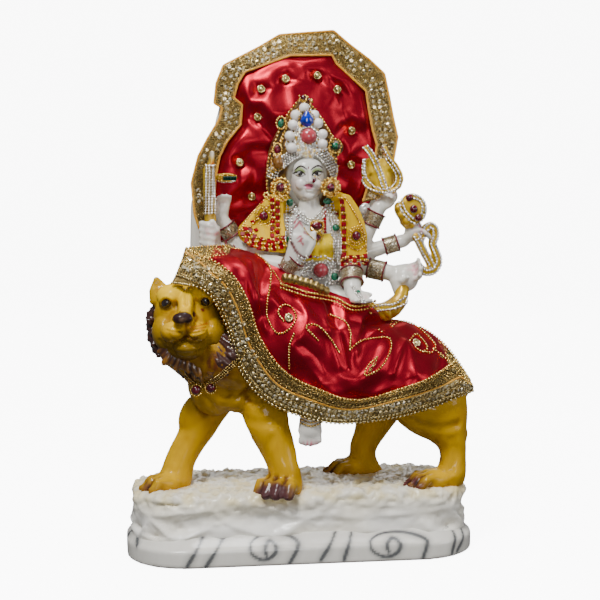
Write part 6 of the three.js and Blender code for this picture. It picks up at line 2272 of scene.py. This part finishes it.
def shawl_rows(bust, gold, garnets):
    """The shawl: red square stones between gold pairs, in rows side by side, and strings of gold."""
    def border(line, rows, gap, phase=0):
        for row in range(rows):
            for k, (at, out, _) in enumerate(strung(bust, line, 2.6, 1, 0.3, offset=row * gap)):
                if (k + row + phase) % 2:
                    garnets.append((at, out, 1.85, 0))
                else:
                    for step in (-0.95, 0.95):
                        gold.append((at + RIGHT * step + out * 0.4, out, 1))

    border([(277.5, 200), (277.8, 222), (277.2, 243)], 2, -5.2)
    border([(241.5, 230.5), (246, 240), (256, 246.5), (270, 249), (285, 246)], 3, 4.2)
    border([(341.5, 198), (343.4, 214), (344, 230), (344.2, 262)], 1, 3.4)
    border([(343, 264.4), (354, 264.6), (366, 263.5)], 3, 3.7, 1)
    for line in ([(268, 197), (262, 203), (254, 212), (247, 220), (241.5, 229)],
            [(272, 202), (266, 208), (258, 217), (251, 226)],
            [(345, 198), (353, 210), (360, 223), (365, 236), (366.5, 253)]):
        gold += strung(bust, line, 2, 0.95, 0.3)
    for x, y in ((253, 222), (248, 229), (256, 230), (262, 203)):
        at, out = bust.seen(x, y, 0.3)
        garnets.append((at, out, 1.6, 0.4))
    for at, squash, turn in (((-27, -20.6, 236), 1.35, -0.5), ((37.5, -20.6, 222), 1.2, 0.3)):
        gold += ring(at, 4.2, 16, 0.8, squash=squash, turn=turn)
        gold += ring(at, 5.6, 19, 0.7, squash=squash, turn=turn)
    gold += strung(bust, [(347, 244), (352, 248.5), (359, 249.5), (364, 246)], 1.7, 0.8, 0.3)
    garnets += [(at, out, 1.2, 0.2) for at, out, _ in strung(bust, [(324.4, 206), (325.2, 232)], 2.4, 1,
         0.3, smooth=False)]
    gold += strung(bust, [(322, 207), (322.6, 232)], 1.7, 0.7, 0.3, smooth=False)


def belt_rows(bust, draw, silver, garnets):
    """The belt: silver beads packed round a coral, and two strings at the hip."""
    silver += ring((13, -16.2, 198), 6.1, 17, 1.15, squash=0.95)
    silver += ring((13, -15.4, 198), 8.2, 22, 1.05, squash=0.95)
    placed = []
    for _ in range(900):
        x, y = draw.uniform(297, 330), draw.uniform(256, 289)
        at, out = bust.seen(x, y, 0.4)
        if hypot(at.x - 13, at.z - 198) < 9 or any((at - other).length < 1.9 for other in placed):
            continue
        placed.append(at)
        if draw.random() < 0.12:
            garnets.append((at, FRONT, 1.3, draw.uniform(0, 1)))
        else:
            silver.append((at, out, 1.1))
    silver += ring((24, -16, 194.5), 3.6, 12, 0.9)
    for shift in (0, 2.8):
        silver += strung(bust, [(352 + shift, 287), (358 + shift, 297), (364 + shift, 304)], 1.9, 0.95, 0.4)


def held_rows(bust, silver, gold, rim_glass):
    """Rhinestones on sword, trident, flower, bow and club, and square stones on the discus."""
    for shift in (-4.6, -1.6, 1.4, 4.4):
        silver += strung(bust, [(211 + shift, 166), (210.8 + shift, 190), (210.4 + shift, 213)], 2, 1.05,
            0.4, smooth=False)
    for line in ([(361.5, 159), (361, 170), (363, 181), (369, 188.5), (378, 192), (388, 192.5),
             (396, 189), (400.4, 182), (399.6, 174)],
            [(364.8, 160), (364.6, 170), (366.4, 178.5), (371.5, 185), (379, 188.5), (388, 189),
             (394, 185), (396.8, 179), (396, 173)],
            [(399.6, 174), (394.5, 165.5), (388, 156.5), (383, 147)],
            [(396, 173), (390.6, 165), (384.5, 157), (379.6, 148.5)],
            [(364, 148), (370, 155.5), (375, 165.5), (379.4, 177), (383.4, 189)],
            [(367.4, 146.5), (373.6, 154.5), (378.6, 165), (383, 177), (386.8, 188)]):
        silver += strung(bust, line, 2.2, 1.16, 0.4)
    for line in ([(399, 203), (401.5, 211), (406.5, 218), (413.5, 223.5), (420, 225)],
            [(402.4, 200), (404.6, 208.5), (409.6, 215), (416, 219.5)],
            [(411, 195.5), (418, 196.6), (423.6, 202), (425.2, 210), (423.2, 217.4), (419, 222)],
            [(414, 199), (418.4, 200.6), (421.6, 205), (422, 210.6), (420, 216)]):
        silver += strung(bust, line, 2.2, 1.16, 0.4)
    for shift in (-1.7, 1.5):
        for line, lift in ((BOW, 3.4), (GRIP, 3.1)):
            middle = bend([Vector(at) for at in line], 8)
            row = []
            for k, at in enumerate(middle):
                way = middle[min(k + 1, len(middle) - 1)] - middle[max(k - 1, 0)]
                way = Vector((way.x, 0, way.z)).normalized()
                row.append(at + Vector((way.z * shift, -lift, -way.x * shift)))
            silver += [(at, FRONT, 1.16) for at in evenly(row, 2.2)]
    for line in ([(373, 307), (383, 305.5), (392, 305), (400, 301), (405, 297)],
            [(374, 311.5), (384, 310), (393, 309), (402, 305.5), (408, 301)]):
        silver += strung(bust, line, 2.2, 1.16, 0.4)
    for k in range(7):
        at = Vector(at_depth(219 + 2.7 * k, 178.5, -3.2))
        if k < 2:
            gold += [(at + Vector((0, 0, s)), FRONT, 0.7) for s in (-1.8, 0, 1.8)]
        else:
            rim_glass.append((at, Vector((0, -1, -0.35)), (1.05, 1.7, 1)))
    gold += strung(bust, [(217, 174.5), (236.5, 175)], 1.5, 0.6, 0.3, smooth=False)
    silver += strung(bust, [(217, 183.5), (236, 183.5)], 1.7, 0.7, 0.3, smooth=False)


def chains(bust, gold, fine):
    """The nose chain, the anklet and the lion's collar."""
    gold += strung(bust, [(315.5, 176.5), (320, 180.5), (325.5, 184.5)], 1.1, 0.42, 0.5)
    gold += [(bust.seen(314.2, 176.2, 0.9)[0], FRONT, 0.75)]
    for row in range(3):
        gold += strung(bust, [(301, 416 + row * 3.4), (311, 419 + row * 3.6), (322, 416 + row * 3.2)],
            1.8, 0.85, 0.5)
    for row in range(3):
        fine += strung(bust, [(238, 358 + 2.6 * row), (228, 366 + 2.8 * row), (218, 375 + 2.8 * row),
             (212, 379 + 3 * row)], 1.6, 0.8, 0.5)
        fine += strung(bust, [(211, 380 + 2 * row), (203, 383 + 2.2 * row), (193, 381 + 2.4 * row),
             (186, 374 + 2.6 * row)], 1.7, 0.75, 0.5)
    for at in ((-75, -35.5, 119), (-65, -36, 120.5)):
        gold += ring(at, 3.9, 15, 0.72)


def make_jewellery(*figure):
    """Rows of rhinestones and beads on the crown, the shawl, the arms and the things in the hands."""
    bust = Surface(*figure)
    draw = random.Random(23)
    silver, gold, fine, garnets, rim_glass = [], [], [], [], []
    necklace_rows(bust, silver)
    crown_beads(bust, draw, silver, gold)
    hood_beads(bust, draw, gold, fine)
    ear_and_pendant_rows(bust, gold)
    shawl_rows(bust, gold, garnets)
    belt_rows(bust, draw, silver, garnets)
    held_rows(bust, silver, gold, rim_glass)
    chains(bust, gold, fine)
    place_all("rhinestones", silver, metal("rhinestone silver", (0.96, 0.95, 0.92), (0.62, 0.59, 0.53),
         0.2))
    place_all("gold_beads", gold, metal("jewellery beads", *BRIGHT_GOLD))
    place_all("dark_gold_beads", fine, metal("dark gold beads", *OLD_GOLD))
    place_all("square_red_stones", garnets,
        gem("red square glass", (0.36, 0.002, 0.008), (0.12, 0, 0.004), 0.4, 0, 0.15), "red_stone",
        square_stone)
    place_all("square_green_stones", rim_glass,
        gem("green square glass", (0.004, 0.05, 0.028), (0, 0.015, 0.01), 0.4, 0, 0.12), "green_stone",
        square_stone)


set_camera_and_lights()
make_plinth()
make_rock([at for at, _ in PAWS])
lion = make_lion()
lion_head = make_lion_head()
mane = make_ruff()
body = make_goddess_body()
arms = make_arms()
make_cuffs()
face = make_face()
hood = make_hood()
make_back_plate()
shawl = make_shawl()
held = make_held_things()
skirt = make_skirt()
make_backdrop()
sewing = random.Random(7)
make_hem_lace(sewing)
trims = make_small_trims(sewing)
make_arch_lace()
make_stones()
make_settings()
make_skirt_trim(skirt)
make_jewellery(lion, mane, body, arms, face, hood, shawl, held)
